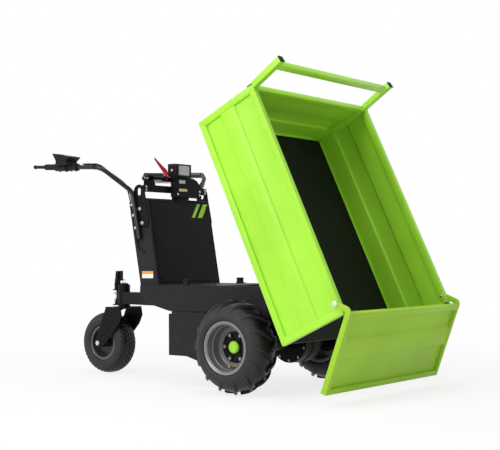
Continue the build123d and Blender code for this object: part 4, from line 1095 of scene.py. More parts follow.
@dataclass
class Castor:
    """The swivelling castor: tyre with block tread, fork bolts, bearing cap and lock."""

    radius: float = 0.156
    block_count: int = 38
    block_depth: float = 0.0042
    carcass: tuple = mm((0, 4.5), (12, 5), (24, 6.8), (36, 11.2), (46, 17.2), (54, 25.2), (59, 34),
                        (61.2, 43), (60, 48), (60.6, 51.5), (58, 59), (52, 65.5), (42.4, 66), (42.2, 78.7))
    # rows of the tread: inner and outer distance from the middle plane
    rows: tuple = mm((-6.5, 6.5), (10.5, 23.5), (27.5, 39.5), (43.5, 54.5))
    skew: float = 0.55

    def depth_at(self, out: float) -> float:
        """Depth of the carcass under the tread's crown."""
        for (a, da), (b, db) in zip(self.carcass, self.carcass[1:]):
            if a <= abs(out) <= b:
                return da + (db - da) * (abs(out) - a) / (b - a)
        return self.carcass[8][1]

    def block(self, shape: Shape, inner: float, outer: float, turn: float) -> None:
        """Adds one slanted block of the tread."""
        step = 2 * math.pi / self.block_count
        half = 0.36 * step
        rings = []
        for level, shrink in ((-0.002, 1.08), (0.72, 1.0), (1.0, 0.86)):
            ring = []
            for out, way in ((inner, -1), (outer, -1), (outer, 1), (inner, 1)):
                middle = (inner + outer) / 2
                placed = middle + (out - middle) * shrink
                lean = (placed - middle) * self.skew / self.radius * (1 if middle >= 0 else -1)
                angle = turn + way * half * shrink + lean
                reach = self.radius - self.depth_at(placed) - 0.0008 + max(level, 0.0) * self.block_depth
                reach -= 0.001 if level < 0 else 0.0
                ring.append(shape.bm.verts.new((reach * math.sin(angle), placed, -reach * math.cos(angle))))
            rings.append(ring)
        shape.bridge(rings, flip=True)

    def wheel(self) -> None:
        """Builds the tyre and the rim's two lips."""
        body = Shape().turned(both_halves(self.carcass, self.radius), CASTOR_AXLE, segments=76,
                              closed=True).done("castor_carcass")
        blocks = Shape()
        step = 2 * math.pi / self.block_count
        for row, (inner, outer) in enumerate(self.rows):
            self.block(blocks, inner, outer, step * 0.5 * (row % 2))
            if row:
                self.block(blocks, -outer, -inner, step * 0.5 * (row % 2))
        tread = RING.run(blocks.done("castor_blocks", 30.0), 30.0, Count=self.block_count,
                         Centre=CASTOR_AXLE, Finish=Finish.CASTOR_TYRE.material)
        tyre = joined("castor_tyre_treaded", (body, tread), 35.0)
        DRESSER.add(tyre, "castor_wheel", Finish.CASTOR_TYRE, ("castor_tyre",))
        for side in (-1, 1):
            name = "right" if side < 0 else "left"
            lip = Shape().turned(mm((46.2, 83.5), (47.8, 83.8), (49.2, 85.8), (48.6, 87.8), (46.2, 88.6),
                                    (44.5, 88), (44, 85)),
                                 CASTOR_AXLE, (0, side, 0), segments=60, closed=True)
            lip.piece(f"castor_rim_lip_{name}", "castor_wheel", Finish.CASTOR_RIM)

    def fork(self) -> None:
        """Adds the head's cap and sleeve, the stem's nut and the crown's bolts."""
        _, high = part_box("castor_fork")
        swivel = pivot("castor_swivel")
        cap = Shape().turned(mm((-4, 0), (-4, 22.5), (1.5, 22.5), (3.5, 20.5), (6.5, 19.5), (7.2, 18.5),
                                (7.2, 0)),
                             (swivel.x, 0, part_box("castor_arm")[1].z), (0, 0, 1), segments=40)
        cap.piece("swivel_cap", "frame", Finish.BLACK_PAINT)
        sleeve = Shape().turned(mm((0, 24), (0, 28.8), (1.5, 30.2), (106.5, 30.2), (108, 28.8), (108, 24)),
                                (swivel.x, 0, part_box("castor_arm")[0].z + 0.0025), (0, 0, 1),
                                segments=48, closed=True)
        sleeve.piece("swivel_sleeve", "frame", Finish.BLACK_PAINT)
        nut = Shape().turned(mm((0, 0), (0, 11.2), (8.5, 11.2), (10.5, 9.2), (10.5, 0)),
                             (swivel.x, 0, high.z), (0, 0, 1), segments=6)
        nut.piece("swivel_nut", "castor", Finish.ZINC, smooth=20.0)
        places = []
        for side in (-1, 1):
            for back in (-0.03, 0.03):
                places.append((Vector((swivel.x + back, side * 0.05, 0.3307)), (0, 0, -1)))
        bolts("crown_bolts", "castor", places, 0.0065, Finish.BLACK_PAINT)

    def lock(self) -> None:
        """Adds the lock's spring, its body with the lever, and its bolts."""
        low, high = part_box("swivel_lock")
        turns, wire = 6, []
        middle = Vector((pivot("castor_swivel").x - 0.03 - 0.018, 0, low.z + 0.01))
        for step in range(turns * 12 + 1):
            angle = 2 * math.pi * step / 12
            wire.append(middle + Vector((0.0092 * math.cos(angle), 0.0092 * math.sin(angle),
                                         0.062 * step / (turns * 12))))
        spring = Shape().swept(wire, 0.0013, 6)
        spring.piece("lock_spring", "frame", Finish.ALLOY)
        x = low.x + 0.02
        body = Shape().block((x - 0.01, -0.0135, low.z + 0.004), (x + 0.01, 0.0135, low.z + 0.034), 0.0025)
        body.block((x - 0.012, -0.0135, low.z + 0.078), (x + 0.008, 0.0135, low.z + 0.118), 0.0025)
        lever = [(x - 0.012, -0.011, low.z + 0.1), (x + 0.008, -0.011, low.z + 0.1),
                 (high.x - 0.0245, -0.011, high.z - 0.001), (high.x - 0.0415, -0.011, high.z - 0.001)]
        body.plate(lever, (0, 0.022, 0))
        body.piece("lock_body", "frame", Finish.BLACK_PAINT, smooth=30.0)
        places = [(Vector((low.x + 0.014, -0.015, up)), (0, -1, 0)) for up in (0.372, 0.408)]
        bolts("lock_bolts", "frame", places, 0.0048)

    def build(self) -> None:
        """Builds the castor."""
        self.wheel()
        self.fork()
        self.lock()


# ---------------------------------------------------------------- chassis


def weld(shape: Shape, path: Sequence[Point], radius: float = 0.0022, pitch: float = 0.0045) -> None:
    """Adds a rippled weld bead along a straight or bent path.

    Args:
        shape: Shape that takes the bead.
        path: Points of the path.
        radius: Half the bead's width.
        pitch: Length of one ripple.
    """
    points = [Vector(p) for p in path]
    for start, end in zip(points, points[1:]):
        count = max(4, int((end - start).length / pitch))
        along = (end - start).normalized()
        side = along.orthogonal().normalized()
        up = along.cross(side)
        rings = []
        for index in range(2 * count + 1):
            centre = start + (end - start) * index / (2 * count)
            reach = radius * (1.0 if index % 2 else 0.72)
            rings.append([shape.bm.verts.new(centre + side * reach * math.cos(a) + up * reach * math.sin(a))
                          for a in (math.pi * corner / 3 for corner in range(6))])
        shape.bridge(rings)


@dataclass
class Chassis:
    """The folded chassis with the battery box, the drive motor and the axle's details."""

    rib_count: int = 9
    case_bolts: int = 10
    case_circle: float = 0.088

    def ring_places(self, centre: Vector, circle: float, count: int, way: int) -> list:
        """Feet of bolts set round a circle, facing along Y."""
        spokes = [2 * math.pi * (step + 0.5) / count for step in range(count)]
        return [(centre + Vector((math.cos(a), 0, math.sin(a))) * circle, (0, way, 0)) for a in spokes]

    def drive_unit(self) -> None:
        """Adds the motor's ribs and end cover, and the bolts of the gear case and the flanges."""
        low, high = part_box("drive_motor")
        middle = (low + high) / 2
        rib = Shape().turned(mm((0, 60.5), (0, 66.2), (1.2, 66.8), (2.8, 66.8), (4, 66.2), (4, 60.5)),
                             (middle.x, low.y + 0.022, middle.z),
                             segments=44, closed=True).done("motor_ribs")
        row_of(rib, "frame", Finish.BLACK_PAINT, self.rib_count, (0.0, 0.0125, 0.0))
        cover = Shape().turned(mm((0.6, 0), (0.6, 57), (-4, 56), (-7, 50), (-8, 22), (-14, 21), (-15, 0)),
                               (middle.x, low.y, middle.z), segments=44)
        cover.piece("motor_cover", "frame", Finish.BLACK_PAINT)
        places = self.ring_places(Vector((middle.x, low.y - 0.005, middle.z)), 0.047, 4, -1)
        axle = (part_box("axle_housing")[0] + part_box("axle_housing")[1]) / 2
        case = Vector((axle.x, 0.038, axle.z))
        near = [row for row in self.ring_places(case, self.case_circle, self.case_bolts, -1)
                if (row[0] - Vector((middle.x, row[0].y, middle.z))).length > 0.075]
        places += near
        places += self.ring_places(case + Vector((0, 0.118, 0)), self.case_circle, self.case_bolts, 1)
        bolts("drive_unit_bolts", "frame", places, 0.0042, Finish.ALLOY)
        seam = Shape().turned(mm((-3, 97.5), (-3, 101), (3, 101), (3, 97.5)),
                              (axle.x, 0.097, axle.z), segments=64, closed=True)
        seam.piece("gear_case_seam", "frame", Finish.BLACK_PAINT)

    def welds_and_bolts(self) -> None:
        """Adds the deck's screws, the weld beads and the seam over the box."""
        low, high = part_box("battery_box")
        frame_low, frame_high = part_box("chassis_frame")
        deck_low, deck_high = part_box("rear_deck")
        places = []
        for side in (-1, 1):
            for x in (deck_low.x + 0.02, (deck_low.x + deck_high.x) / 2 + 0.09, deck_high.x - 0.02):
                places.append((Vector((x, side * 0.178, deck_high.z)), (0, 0, 1)))
        bolts("chassis_bolts", "frame", places, 0.0045, Finish.BLACK_PAINT)
        beads = Shape()
        for side in (-1, 1):
            y = side * 0.2295
            weld(beads, [(low.x, y, low.z + 0.022), (low.x, y, high.z - 0.014)])
            weld(beads, [(low.x, y, low.z + 0.021), (low.x + 0.105, y, low.z + 0.021),
                         (low.x + 0.185, y, low.z), (high.x, y, low.z)])
            weld(beads, [(frame_low.x, y, 0.386), (frame_low.x, y, frame_high.z - 0.062)])
            weld(beads, [(frame_low.x, side * 0.09, 0.356), (frame_low.x, side * 0.09, 0.414)], 0.003)
            weld(beads, [(high.x + 0.4, side * 0.216, frame_high.z - 0.058),
                         (high.x + 0.372, side * 0.216, frame_high.z - 0.058)])
        beads.piece("chassis_welds", "frame", Finish.CHARCOAL_PAINT, smooth=60.0)
        seam = Shape()
        for side in (-1, 1):
            y = side * 0.2291
            seam.block((low.x + 0.035, y - 0.0006, high.z - 0.003),
                       (high.x, y + 0.0006, high.z + 0.0035), 0.0005)
        seam.piece("box_seam", "frame", Finish.FLOOR_SHADE_AND_SEAM)

    def buffers(self) -> None:
        """Replaces the two rubber buffers by waisted ones on steel feet."""
        low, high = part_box("rest_buffers")
        rubber, feet = Shape(), Shape()
        height = high.z - low.z
        for side in (-1, 1):
            foot = Vector(((low.x + high.x) / 2, side * (high.y - 0.018), low.z))
            rubber.turned(((0.003, 0.0), (0.003, 0.0178), (0.008, 0.018), (0.45 * height, 0.0158),
                           (0.75 * height, 0.0172), (height - 0.003, 0.018), (height, 0.015),
                           (height, 0.0)), foot, (0, 0, 1), segments=36)
            feet.turned(mm((0, 0), (0, 21.5), (2.2, 21.5), (3.2, 20.5), (3.2, 0)), foot,
                        (0, 0, 1), segments=36)
        rubber.piece("buffer_rubbers", "frame", Finish.SOFT_RUBBER, ("rest_buffers",))
        feet.piece("buffer_feet", "frame", Finish.BLACK_PAINT)

    def build(self) -> None:
        """Builds the chassis."""
        self.drive_unit()
        self.welds_and_bolts()
        self.buffers()


# ---------------------------------------------------------------- tower and controls


@dataclass
class Tower:
    """The leaning tower with its plates, its blank labels and its stripes."""

    label_low: Point = (-0.356, -0.2262, 0.4915)
    label_size: tuple[float, float] = (0.072, 0.033)
    stripe_top: float = 0.4
    stripe_height: float = 0.07
    stripe_lean: float = 0.054
    eye: Point = (-0.3687, 0.232, 0.903)

    def labels(self) -> None:
        """Adds the blank label low on each side, white under an orange strip."""
        low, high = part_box("tower_housing")
        wide, tall = self.label_size
        for finish, bottom, top in ((Finish.WHITE_PLASTIC, 0.0, 0.58), (Finish.ORANGE_PLASTIC, 0.58, 1.0)):
            shape = Shape()
            for side in (-1, 1):
                y = low.y if side < 0 else high.y
                x, z = self.label_low[0], self.label_low[2]
                shape.block((x, y - 0.0004, z + bottom * tall),
                            (x + wide, y + 0.0004, z + top * tall), 0.0002)
            name = "tower_labels" if finish is Finish.WHITE_PLASTIC else "tower_label_strips"
            shape.piece(name, "frame", finish)

    def stripes(self) -> None:
        """Adds two plain slanted stripes in the front panel's upper left corner."""
        shape = Shape()
        face = 0.0031
        low, lean = self.stripe_top - self.stripe_height, self.stripe_lean
        for start, wide in ((0.078, 0.022), (0.122, 0.034)):
            corners = ((start, low), (start + wide, low), (start + wide + lean, self.stripe_top),
                       (start + lean, self.stripe_top))
            shape.plate([TOWER.at(face, y, up) for y, up in corners], TOWER.along * 0.0005)
        shape.piece("tower_stripes", "frame", Finish.LIME_PAINT)

    def fasteners(self) -> None:
        """Adds the panel's screws and the bolts of the plates on the tower's sides."""
        panel = [(TOWER.at(0.003, side * 0.196, up), TOWER.along)
                 for side in (-1, 1) for up in (0.03, 0.205, 0.385)]
        bolts("panel_screws", "frame", panel, 0.0038, Finish.BLACK_PAINT)
        places = []
        for side in (-1, 1):
            x, y, z = self.eye
            for ahead, below, in ((0.004, 0.082), (0.02, 0.15)):
                places.append((Vector((x + ahead, side * y, z - below)), (0, side, 0)))
        bolts("plate_bolts", "frame", places, 0.0062)
        x, y, z = self.eye
        down = Vector((0.012, 0, 0.045))
        small = [(Vector((x + 0.04, side * y, z - 0.012)) - down, (0, side, 0)) for side in (-1, 1)]
        bolts("plate_screws", "frame", small, 0.004, Finish.BLACK_PAINT)

    def edges(self) -> None:
        """Adds the folded edges of the housing and the welds at its foot."""
        low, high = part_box("tower_housing")
        shape = Shape()
        for side in (-1, 1):
            y = side * 0.22
            shape.swept([TOWER.at(0.0008, y, 0.012), TOWER.at(0.0008, y, 0.404)], 0.0022, 8)
        shape.swept([TOWER.at(0.0006, -0.218, 0.408), TOWER.at(0.0006, 0.218, 0.408)], 0.0018, 8)
        for y in (-0.2262, 0.2262):
            weld(shape, [(x, y, low.z + 0.001) for x in (high.x - 0.004, low.x + 0.075)], 0.0018)
        shape.piece("tower_edges", "frame", Finish.CHARCOAL_PAINT, smooth=50.0)

    def rear_hatch(self) -> None:
        """Adds the hatch with its louvres and its latch on the tower's rear face."""
        rear = Slant(Vector((-0.3657, 0, 0.46)), TOWER.along, TOWER.up)
        top = Vector((-0.4388, 0, 0.8529))
        up = (top - rear.origin).normalized()
        out = Vector((-up.z, 0, up.x))
        rear = Slant(rear.origin, out, up)
        hatch = Shape().block((0.0002, -0.175, 0.055), (0.0032, 0.175, 0.35), 0.0012, rear.matrix)
        hatch.piece("rear_hatch", "frame", Finish.CHARCOAL_PAINT)
        slat = Shape()
        ring = [rear.at(0.003, -0.085, 0.205), rear.at(0.0085, -0.085, 0.206), rear.at(0.003, -0.085, 0.216)]
        slat.plate(ring, (0, 0.17, 0))
        row_of(slat.done("hatch_louvres", 20.0), "frame", Finish.BLACK_PAINT, 7, up * 0.0165, 20.0)
        latch = Shape()
        for y in (-0.14, 0.14):
            latch.turned(mm((0, 0), (0, 12.5), (3.5, 12.5), (5, 11), (5, 0)),
                         rear.at(0.003, y, 0.095), tuple(out), segments=28)
            latch.block((0.007, y - 0.009, 0.0935), (0.01, y + 0.009, 0.0965), 0.0008, rear.matrix)
        latch.piece("hatch_latches", "frame", Finish.ZINC)

    def build(self) -> None:
        """Builds the tower."""
        self.labels()
        self.stripes()
        self.fasteners()
        self.edges()
        self.rear_hatch()


@dataclass
class ControlGroup:
    """Lamp, control box, upper rail, plates and the red tipping lever."""

    fin_count: int = 9
    reflector_rows: tuple = (-0.0135, 0.0, 0.0135)
    reflector_columns: tuple = (-0.026, -0.0087, 0.0087, 0.026)
    lever_shift: float = 0.014

    def lamp(self) -> None:
        """Adds the lamp's cooling fins, frame, reflectors, stirrup and bolts."""
        low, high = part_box("work_lamp")
        lens_low, lens_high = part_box("lamp_lens")
        bottom = lens_low.z - 0.0078
        middle_y, middle_z = (lens_low.y + lens_high.y) / 2, (lens_low.z + lens_high.z) / 2
        fin = Shape().block((low.x - 0.01, low.y + 0.006, high.z - 0.06),
                            (low.x + 0.038, low.y + 0.0085, high.z + 0.0022), 0.0008)
        row_of(fin.done("lamp_fins"), "frame", Finish.BLACK_PLASTIC, self.fin_count,
               (0.0, (high.y - low.y - 0.0145) / (self.fin_count - 1), 0.0))
        bezel = Shape()
        x = high.x
        for y0, z0, y1, z1 in ((low.y + 0.001, bottom - 0.004, high.y - 0.001, lens_low.z),
                               (low.y + 0.001, lens_high.z, high.y - 0.001, high.z - 0.001),
                               (low.y + 0.001, lens_low.z, lens_low.y, lens_high.z),
                               (lens_high.y, lens_low.z, high.y - 0.001, lens_high.z)):
            bezel.block((x - 0.001, y0, z0), (x + 0.0055, y1, z1), 0.0012)
        bezel.piece("lamp_bezel", "frame", Finish.BLACK_PLASTIC)
        cups = Shape()
        for row in self.reflector_rows:
            for column in self.reflector_columns:
                cups.turned(mm((0, 7.8), (1.4, 8.1), (1.6, 6.8), (0.8, 3), (1.4, 1.8), (1.8, 0)),
                            (lens_high.x - 0.0005, middle_y + column, middle_z + row), (1, 0, 0), segments=18)
        cups.piece("lamp_reflectors", "frame", Finish.LENS)
        corners = [(Vector((x + 0.0052, middle_y + y, middle_z + z)), (1, 0, 0))
                   for y in (-0.046, 0.046) for z in (-0.025, 0.025)]
        bolts("lamp_screws", "frame", corners, 0.0024, Finish.BLACK_PAINT)
        stirrup = Shape()
        for side in (-1, 1):
            y = middle_y + side * 0.0545
            stirrup.block((low.x + 0.014, min(y, y - side * 0.003), bottom - 0.016),
                          (low.x + 0.034, max(y, y - side * 0.003), middle_z + 0.012), 0.001)
        stirrup.block((low.x + 0.014, middle_y - 0.0515, bottom - 0.016),
                      (low.x + 0.034, middle_y + 0.0515, bottom - 0.013), 0.0008)
        stirrup.piece("lamp_stirrup", "frame", Finish.BLACK_PAINT)
        places = [(Vector((low.x + 0.024, middle_y + side * 0.0545, middle_z)), (0, side, 0))
                  for side in (-1, 1)]
        bolts("lamp_side_bolts", "frame", places, 0.005)

    def box_details(self) -> None:
        """Adds the control box's foot, blank plates, seam and screws, and the operator's switches."""
        low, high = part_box("control_box")
        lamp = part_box("lamp_lens")
        middle = (lamp[0].y + lamp[1].y) / 2
        foot = Shape().block((low.x + 0.002, low.y + 0.004, low.z - 0.0215),
                             (low.x + 0.014, low.y + 0.118, low.z + 0.004), 0.0015)
        foot.piece("control_box_foot", "frame", Finish.BLACK_PAINT)
        for name, finish, bottom, aside, top in (("upper", Finish.WHITE_PLASTIC, 0.067, 0.022, 0.084),
                                                 ("lower", Finish.LABEL_CREAM, 0.028, 0.036, 0.041)):
            plate = Shape().block((high.x - 0.0002, middle - 0.022, low.z + bottom),
                                  (high.x + 0.0006, middle + aside, low.z + top), 0.0003)
            plate.piece(f"blank_plate_{name}", "frame", finish)
        seam = Shape()
        for y0, z0, y1, z1 in ((low.y + 0.006, low.z + 0.006, high.y - 0.006, low.z + 0.006),
                               (low.y + 0.006, high.z - 0.006, high.y - 0.069, high.z - 0.006),
                               (low.y + 0.006, low.z + 0.006, low.y + 0.006, high.z - 0.006),
                               (high.y - 0.006, low.z + 0.006, high.y - 0.006, high.z - 0.048)):
            seam.swept([(high.x, y0, z0), (high.x, y1, z1)], 0.0011, 6)
        seam.piece("control_box_seam", "frame", Finish.BLACK_PAINT)
        places = [(Vector((high.x, y, z)), (1, 0, 0)) for y, z in
                  ((high.y - 0.014, low.z + 0.014), (high.y - 0.014, low.z + 0.032),
                   (low.y + 0.014, low.z + 0.014))]
        bar_low, bar_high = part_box("tower_crossbar")
        for y in (0.214, -0.214):
            places += [(Vector((bar_high.x, y, bar_low.z + up)), (1, 0, 0)) for up in (0.009, 0.024)]
        bolts("control_screws", "frame", places, 0.004)
        switch = Shape()
        rear = bar_low.x
        for index in range(3):
            y = 0.005 + 0.034 * index
            # block: behind and before the bar's face, half width, bottom, top, rounding
            for back, front, wide, bottom, top, edge in ((0.0045, 0.001, 0.012, 0.008, 0.026, 0.0015),
                                                         (0.0085, -0.003, 0.008, 0.011, 0.018, 0.0012)):
                switch.block((rear - back, y - wide, bar_low.z + bottom),
                             (rear + front, y + wide, bar_low.z + top), edge)
        switch.piece("rocker_switches", "frame", Finish.BLACK_PLASTIC)
        stop = Shape().turned(mm((0, 0), (0, 9), (10, 9), (11, 15), (16, 15.2), (19.5, 13.5), (21, 9),
                                 (21.5, 0)),
                              (rear, -0.14, bar_low.z + 0.017), (-1, 0, 0), segments=32)
        stop.piece("stop_button", "frame", Finish.RED_PLASTIC)

    def rails(self) -> None:
        """Adds the upper rail between the raised tab and the control box, with a zinc strip along its edge as a
        painted highlight.
        """
        _, bar_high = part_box("tower_crossbar")
        box_low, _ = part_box("control_box")
        rail = Shape().block((bar_high.x - 0.016, -0.196, 0.9565),
                             (bar_high.x, box_low.y + 0.002, 0.979), 0.0025)
        rail.block((bar_high.x - 0.018, -0.09, 0.96), (bar_high.x + 0.004, -0.06, 0.983), 0.002)
        rail.piece("upper_rail", "frame", Finish.BLACK_PAINT)
        # painted highlight: a bright zinc strip along the rail's front edge
        edge = Shape().block((bar_high.x - 0.001, -0.165, 0.959),
                             (bar_high.x + 0.0014, -0.105, 0.9615), 0.0006)
        edge.piece("rail_highlight_strip", "frame", Finish.ZINC)
        places = [(Vector((bar_high.x, y, 0.968)), (1, 0, 0)) for y in (-0.226, -0.208)]
        bolts("tab_screws", "frame", places, 0.0036)

    def lever(self) -> None:
        """Replaces the tipping lever by a tapered red one in its socket."""
        low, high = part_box("tip_lever")
        x = (low.x + high.x) / 2
        foot = Vector((x, high.y + self.lever_shift, low.z + 0.03))
        tip = Vector((x, low.y + 0.01 + self.lever_shift, high.z - 0.002))
        elbow = foot + Vector((0, -0.002, 0.04))
        handle = Shape()
        line = smooth_path((elbow - Vector((0, -0.002, 0.014)), elbow, elbow.lerp(tip, 0.35),
                            elbow.lerp(tip, 0.7), tip), 5)
        count = len(line) - 1
        rings = []
        for index, point in enumerate(line):
            share = index / count
            reach = 0.0125 * (1 - share) ** 1.3 + 0.0048
            if share > 0.97:
                reach *= 0.7
            along = (line[min(index + 1, count)] - line[max(index - 1, 0)]).normalized()
            side = Vector((1, 0, 0))
            up = along.cross(side).normalized()
            wide, tall = side * reach * 0.62, up * reach
            rings.append([handle.bm.verts.new(point + wide * math.cos(a) + tall * math.sin(a))
                          for a in (2 * math.pi * k / 16 for k in range(16))])
        handle.bridge(rings)
        handle.turned(mm((0, 0), (0, 10.5), (16, 10), (34, 8), (40, 6), (40, 0)),
                      foot + Vector((0, 0, 0.0003)), (0, 0, 1), segments=24)
        handle.piece("tipping_lever", "frame", Finish.RED_PLASTIC, ("tip_lever",))

    def build(self) -> None:
        """Builds the controls."""
        self.lamp()
        self.box_details()
        self.rails()
        self.lever()


# ---------------------------------------------------------------- handlebars


@dataclass
class Handlebars:
    """The two bent bars with grips, console, brake lever and the clipped cables."""

    bar_y: float = 0.2433
    splay_y: float = 0.38
    cable_radius: float = 0.003
    rib_count: int = 14

    def bar_line(self, hand: int, off: float, up: float) -> list[Vector]:
        """A line that follows a bar on its way up, beside it.

        Args:
            hand: Side of the machine, -1 or 1.
            off: Distance from the bar's middle, towards the machine's middle.
            up: Distance over the bar's middle.

        Returns:
            The points of a smooth line.
        """
        y, wide = hand * (self.bar_y - off), hand * (self.splay_y - off)
        return smooth_path(((-0.366 - up, y, 0.7), (-0.383 - up, y, 0.79), (-0.4 - up, y * 1.02, 0.88),
                            (-0.418 - up * 0.8, y * 1.1, 0.933 + up * 0.4),
                            (-0.454 - up * 0.5, wide * 0.93, 0.99 + up * 0.8),
                            (-0.486 - up * 0.2, wide, 1.015 + up), tuple(BAR.at(0.06, wide, up)),
                            tuple(BAR.at(0.118, wide, up))), 6)

    def cables(self) -> None:
        """Adds the clipped cables that run down the bars into the tower's sides."""
        run = Shape()
        for hand, rows in ((-1, ((0.0085, 0.0132), (-0.0015, 0.015))), (1, ((0.004, 0.0145),))):
            for off, up in rows:
                line = self.bar_line(hand, off, up)
                low = line[0]
                entry = [Vector((low.x + 0.006, hand * 0.2335, low.z - 0.06)),
                         Vector((low.x + 0.02, hand * 0.224, low.z - 0.082))]
                run.swept(smooth_path([*entry[::-1], *line[::6]], 6), self.cable_radius, 10)
        run.piece("clipped_cables", "frame", Finish.SOFT_RUBBER, smooth=60.0)
        ties = Shape()
        for hand in (-1, 1):
            for share in (0.12, 0.8):
                line = self.bar_line(hand, 0.0, 0.0)
                index = int(share * (len(line) - 1))
                along = (line[min(index + 1, len(line) - 1)] - line[max(index - 1, 0)]).normalized()
                ties.turned(mm((-1.8, 11.2), (-1.8, 12.2), (1.8, 12.2), (1.8, 11.2)),
                            line[index], tuple(along), segments=28, closed=True)
        ties.piece("cable_ties", "frame", Finish.BLACK_PLASTIC)
        collars = Shape()
        for hand in (-1, 1):
            collars.turned(mm((-1, 0), (-1, 8), (4, 8), (6, 6.2), (6, 0)),
                           (-0.346, hand * 0.226, 0.618), (0, hand, 0), segments=24)
        collars.piece("cable_collars", "frame", Finish.SOFT_RUBBER)

    def grips(self) -> None:
        """Adds the ribs of the grips and the end knobs."""
        rib = Shape().turned(mm((-2.2, 14.7), (-1.2, 15.8), (1.2, 15.8), (2.2, 14.7)),
                             BAR.at(0.279, self.splay_y, 0), tuple(BAR.along), segments=32, closed=True)
        row_of(rib.done("grip_ribs_left"), "frame", Finish.SOFT_RUBBER, self.rib_count,
               BAR.along * 0.0105, 40.0)
        rib = Shape().turned(mm((-2, 13.7), (-1, 14.7), (1, 14.7), (2, 13.7)),
                             BAR.at(0.315, -self.splay_y, 0), tuple(BAR.along), segments=32, closed=True)
        row_of(rib.done("grip_ribs_right"), "frame", Finish.SOFT_RUBBER, 7, BAR.along * 0.0098, 40.0)
        ends = Shape()
        ends.turned(mm((-4, 0), (-4, 9.2), (-2, 10), (2, 10), (4, 8.8), (4, 0)),
                    BAR.at(0.4625, -self.splay_y, 0), tuple(BAR.along), segments=28)
        ends.turned(mm((-5, 0), (-5, 16.2), (-3, 17.2), (1, 17.2), (3.5, 15), (4, 0)),
                    BAR.at(0.4335, self.splay_y, 0), tuple(BAR.along), segments=32)
        ends.piece("grip_ends", "frame", Finish.SOFT_RUBBER)

    def console(self) -> None:
        """Adds the console's screen, keys, rim, clamp halves and clamp screws."""
        y = -self.splay_y
        foot = BAR.at(0.235, y, 0)
        tilt = math.atan2(0.022, 0.122)
        face = Slant(foot + Vector((-0.001, 0, 0.0552)), Vector((-math.cos(tilt), 0, math.sin(tilt))),
                     Vector((math.sin(tilt), 0, math.cos(tilt))))
        rim = Shape()
        for x0, y0, x1, y1 in ((-0.06, -0.036, 0.0605, -0.0325), (-0.06, 0.0325, 0.0605, 0.036),
                               (-0.06, -0.0325, -0.0565, 0.0325), (0.057, -0.0325, 0.0605, 0.0325)):
            rim.block((x0, y0, -0.001), (x1, y1, 0.0022), 0.0007, face.matrix)
        rim.piece("console_rim", "frame", Finish.BLACK_PLASTIC)
        screen = Shape().block((-0.036, -0.026, -0.001), (0.03, 0.026, 0.0012), 0.0006, face.matrix)
        screen.piece("console_screen", "frame", Finish.SCREEN)
        keys = Shape()
        for column in (-0.015, 0.0, 0.015):
            keys.block((0.038, column - 0.005, -0.001), (0.048, column + 0.005, 0.0022), 0.0012, face.matrix)
        keys.piece("console_keys", "frame", Finish.SOFT_RUBBER)
        clamps = Shape()
        for back, reach in ((0.162, 0.0185), (0.2, 0.0185), (0.232, 0.0212), (0.278, 0.0212)):
            clamps.turned(((-0.004, reach - 0.003), (-0.004, reach - 0.0006), (-0.0025, reach),
                           (0.0025, reach), (0.004, reach - 0.0006), (0.004, reach - 0.003)),
                          BAR.at(back, y, 0), tuple(BAR.along), segments=36, closed=True)
        clamps.piece("console_clamps", "frame", Finish.BLACK_PLASTIC)
        places = [(BAR.at(back, y, 0) - Vector((0, 0, reach)), (0, 0, -1)) for back, reach in
                  ((0.168, 0.0178), (0.2, 0.0178), (0.236, 0.0205), (0.278, 0.0205))]
        bolts("console_screws", "frame", places, 0.0036, Finish.BLACK_PAINT)

    def brake(self) -> None:
        """Adds the ball of the brake lever and its pivot screw."""
        low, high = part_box("brake_lever")
        end = BAR.at(0.4135, self.splay_y, 0) - Vector((0, 0, 0.036))
        ball = Shape().turned(tuple((-0.0085 * math.cos(math.pi * k / 10), 0.0085 * math.sin(math.pi * k / 10))
                                    for k in range(11)), end, tuple(BAR.along), segments=24)
        ball.piece("brake_lever_ball", "frame", Finish.ALLOY)
        hinge = Vector((high.x - 0.014, self.splay_y, low.z + 0.008))
        places = [(hinge + Vector((0, side * 0.0072, 0)), (0, side, 0)) for side in (-1, 1)]
        bolts("brake_screw", "frame", places, 0.0042)

    def clamp_bolts(self) -> None:
        """Adds the bolts that clamp the bars to the plates."""
        places = []
        for hand in (-1, 1):
            for x, z in ((-0.3725, 0.73), (-0.3855, 0.79), (-0.396, 0.84)):
                places.append((Vector((x, hand * 0.2545, z)), (0, hand, 0)))
        bolts("bar_bolts", "frame", places, 0.0044)

    def build(self) -> None:
        """Builds the handlebars."""
        self.cables()
        self.grips()
        self.console()
        self.brake()
        self.clamp_bolts()


# ---------------------------------------------------------------- skip and tailgate


class Wall(Enum):
    """The pressed walls of the skip."""

    RIGHT = "skip_side_right"
    LEFT = "skip_side_left"
    HEADBOARD = "skip_headboard"


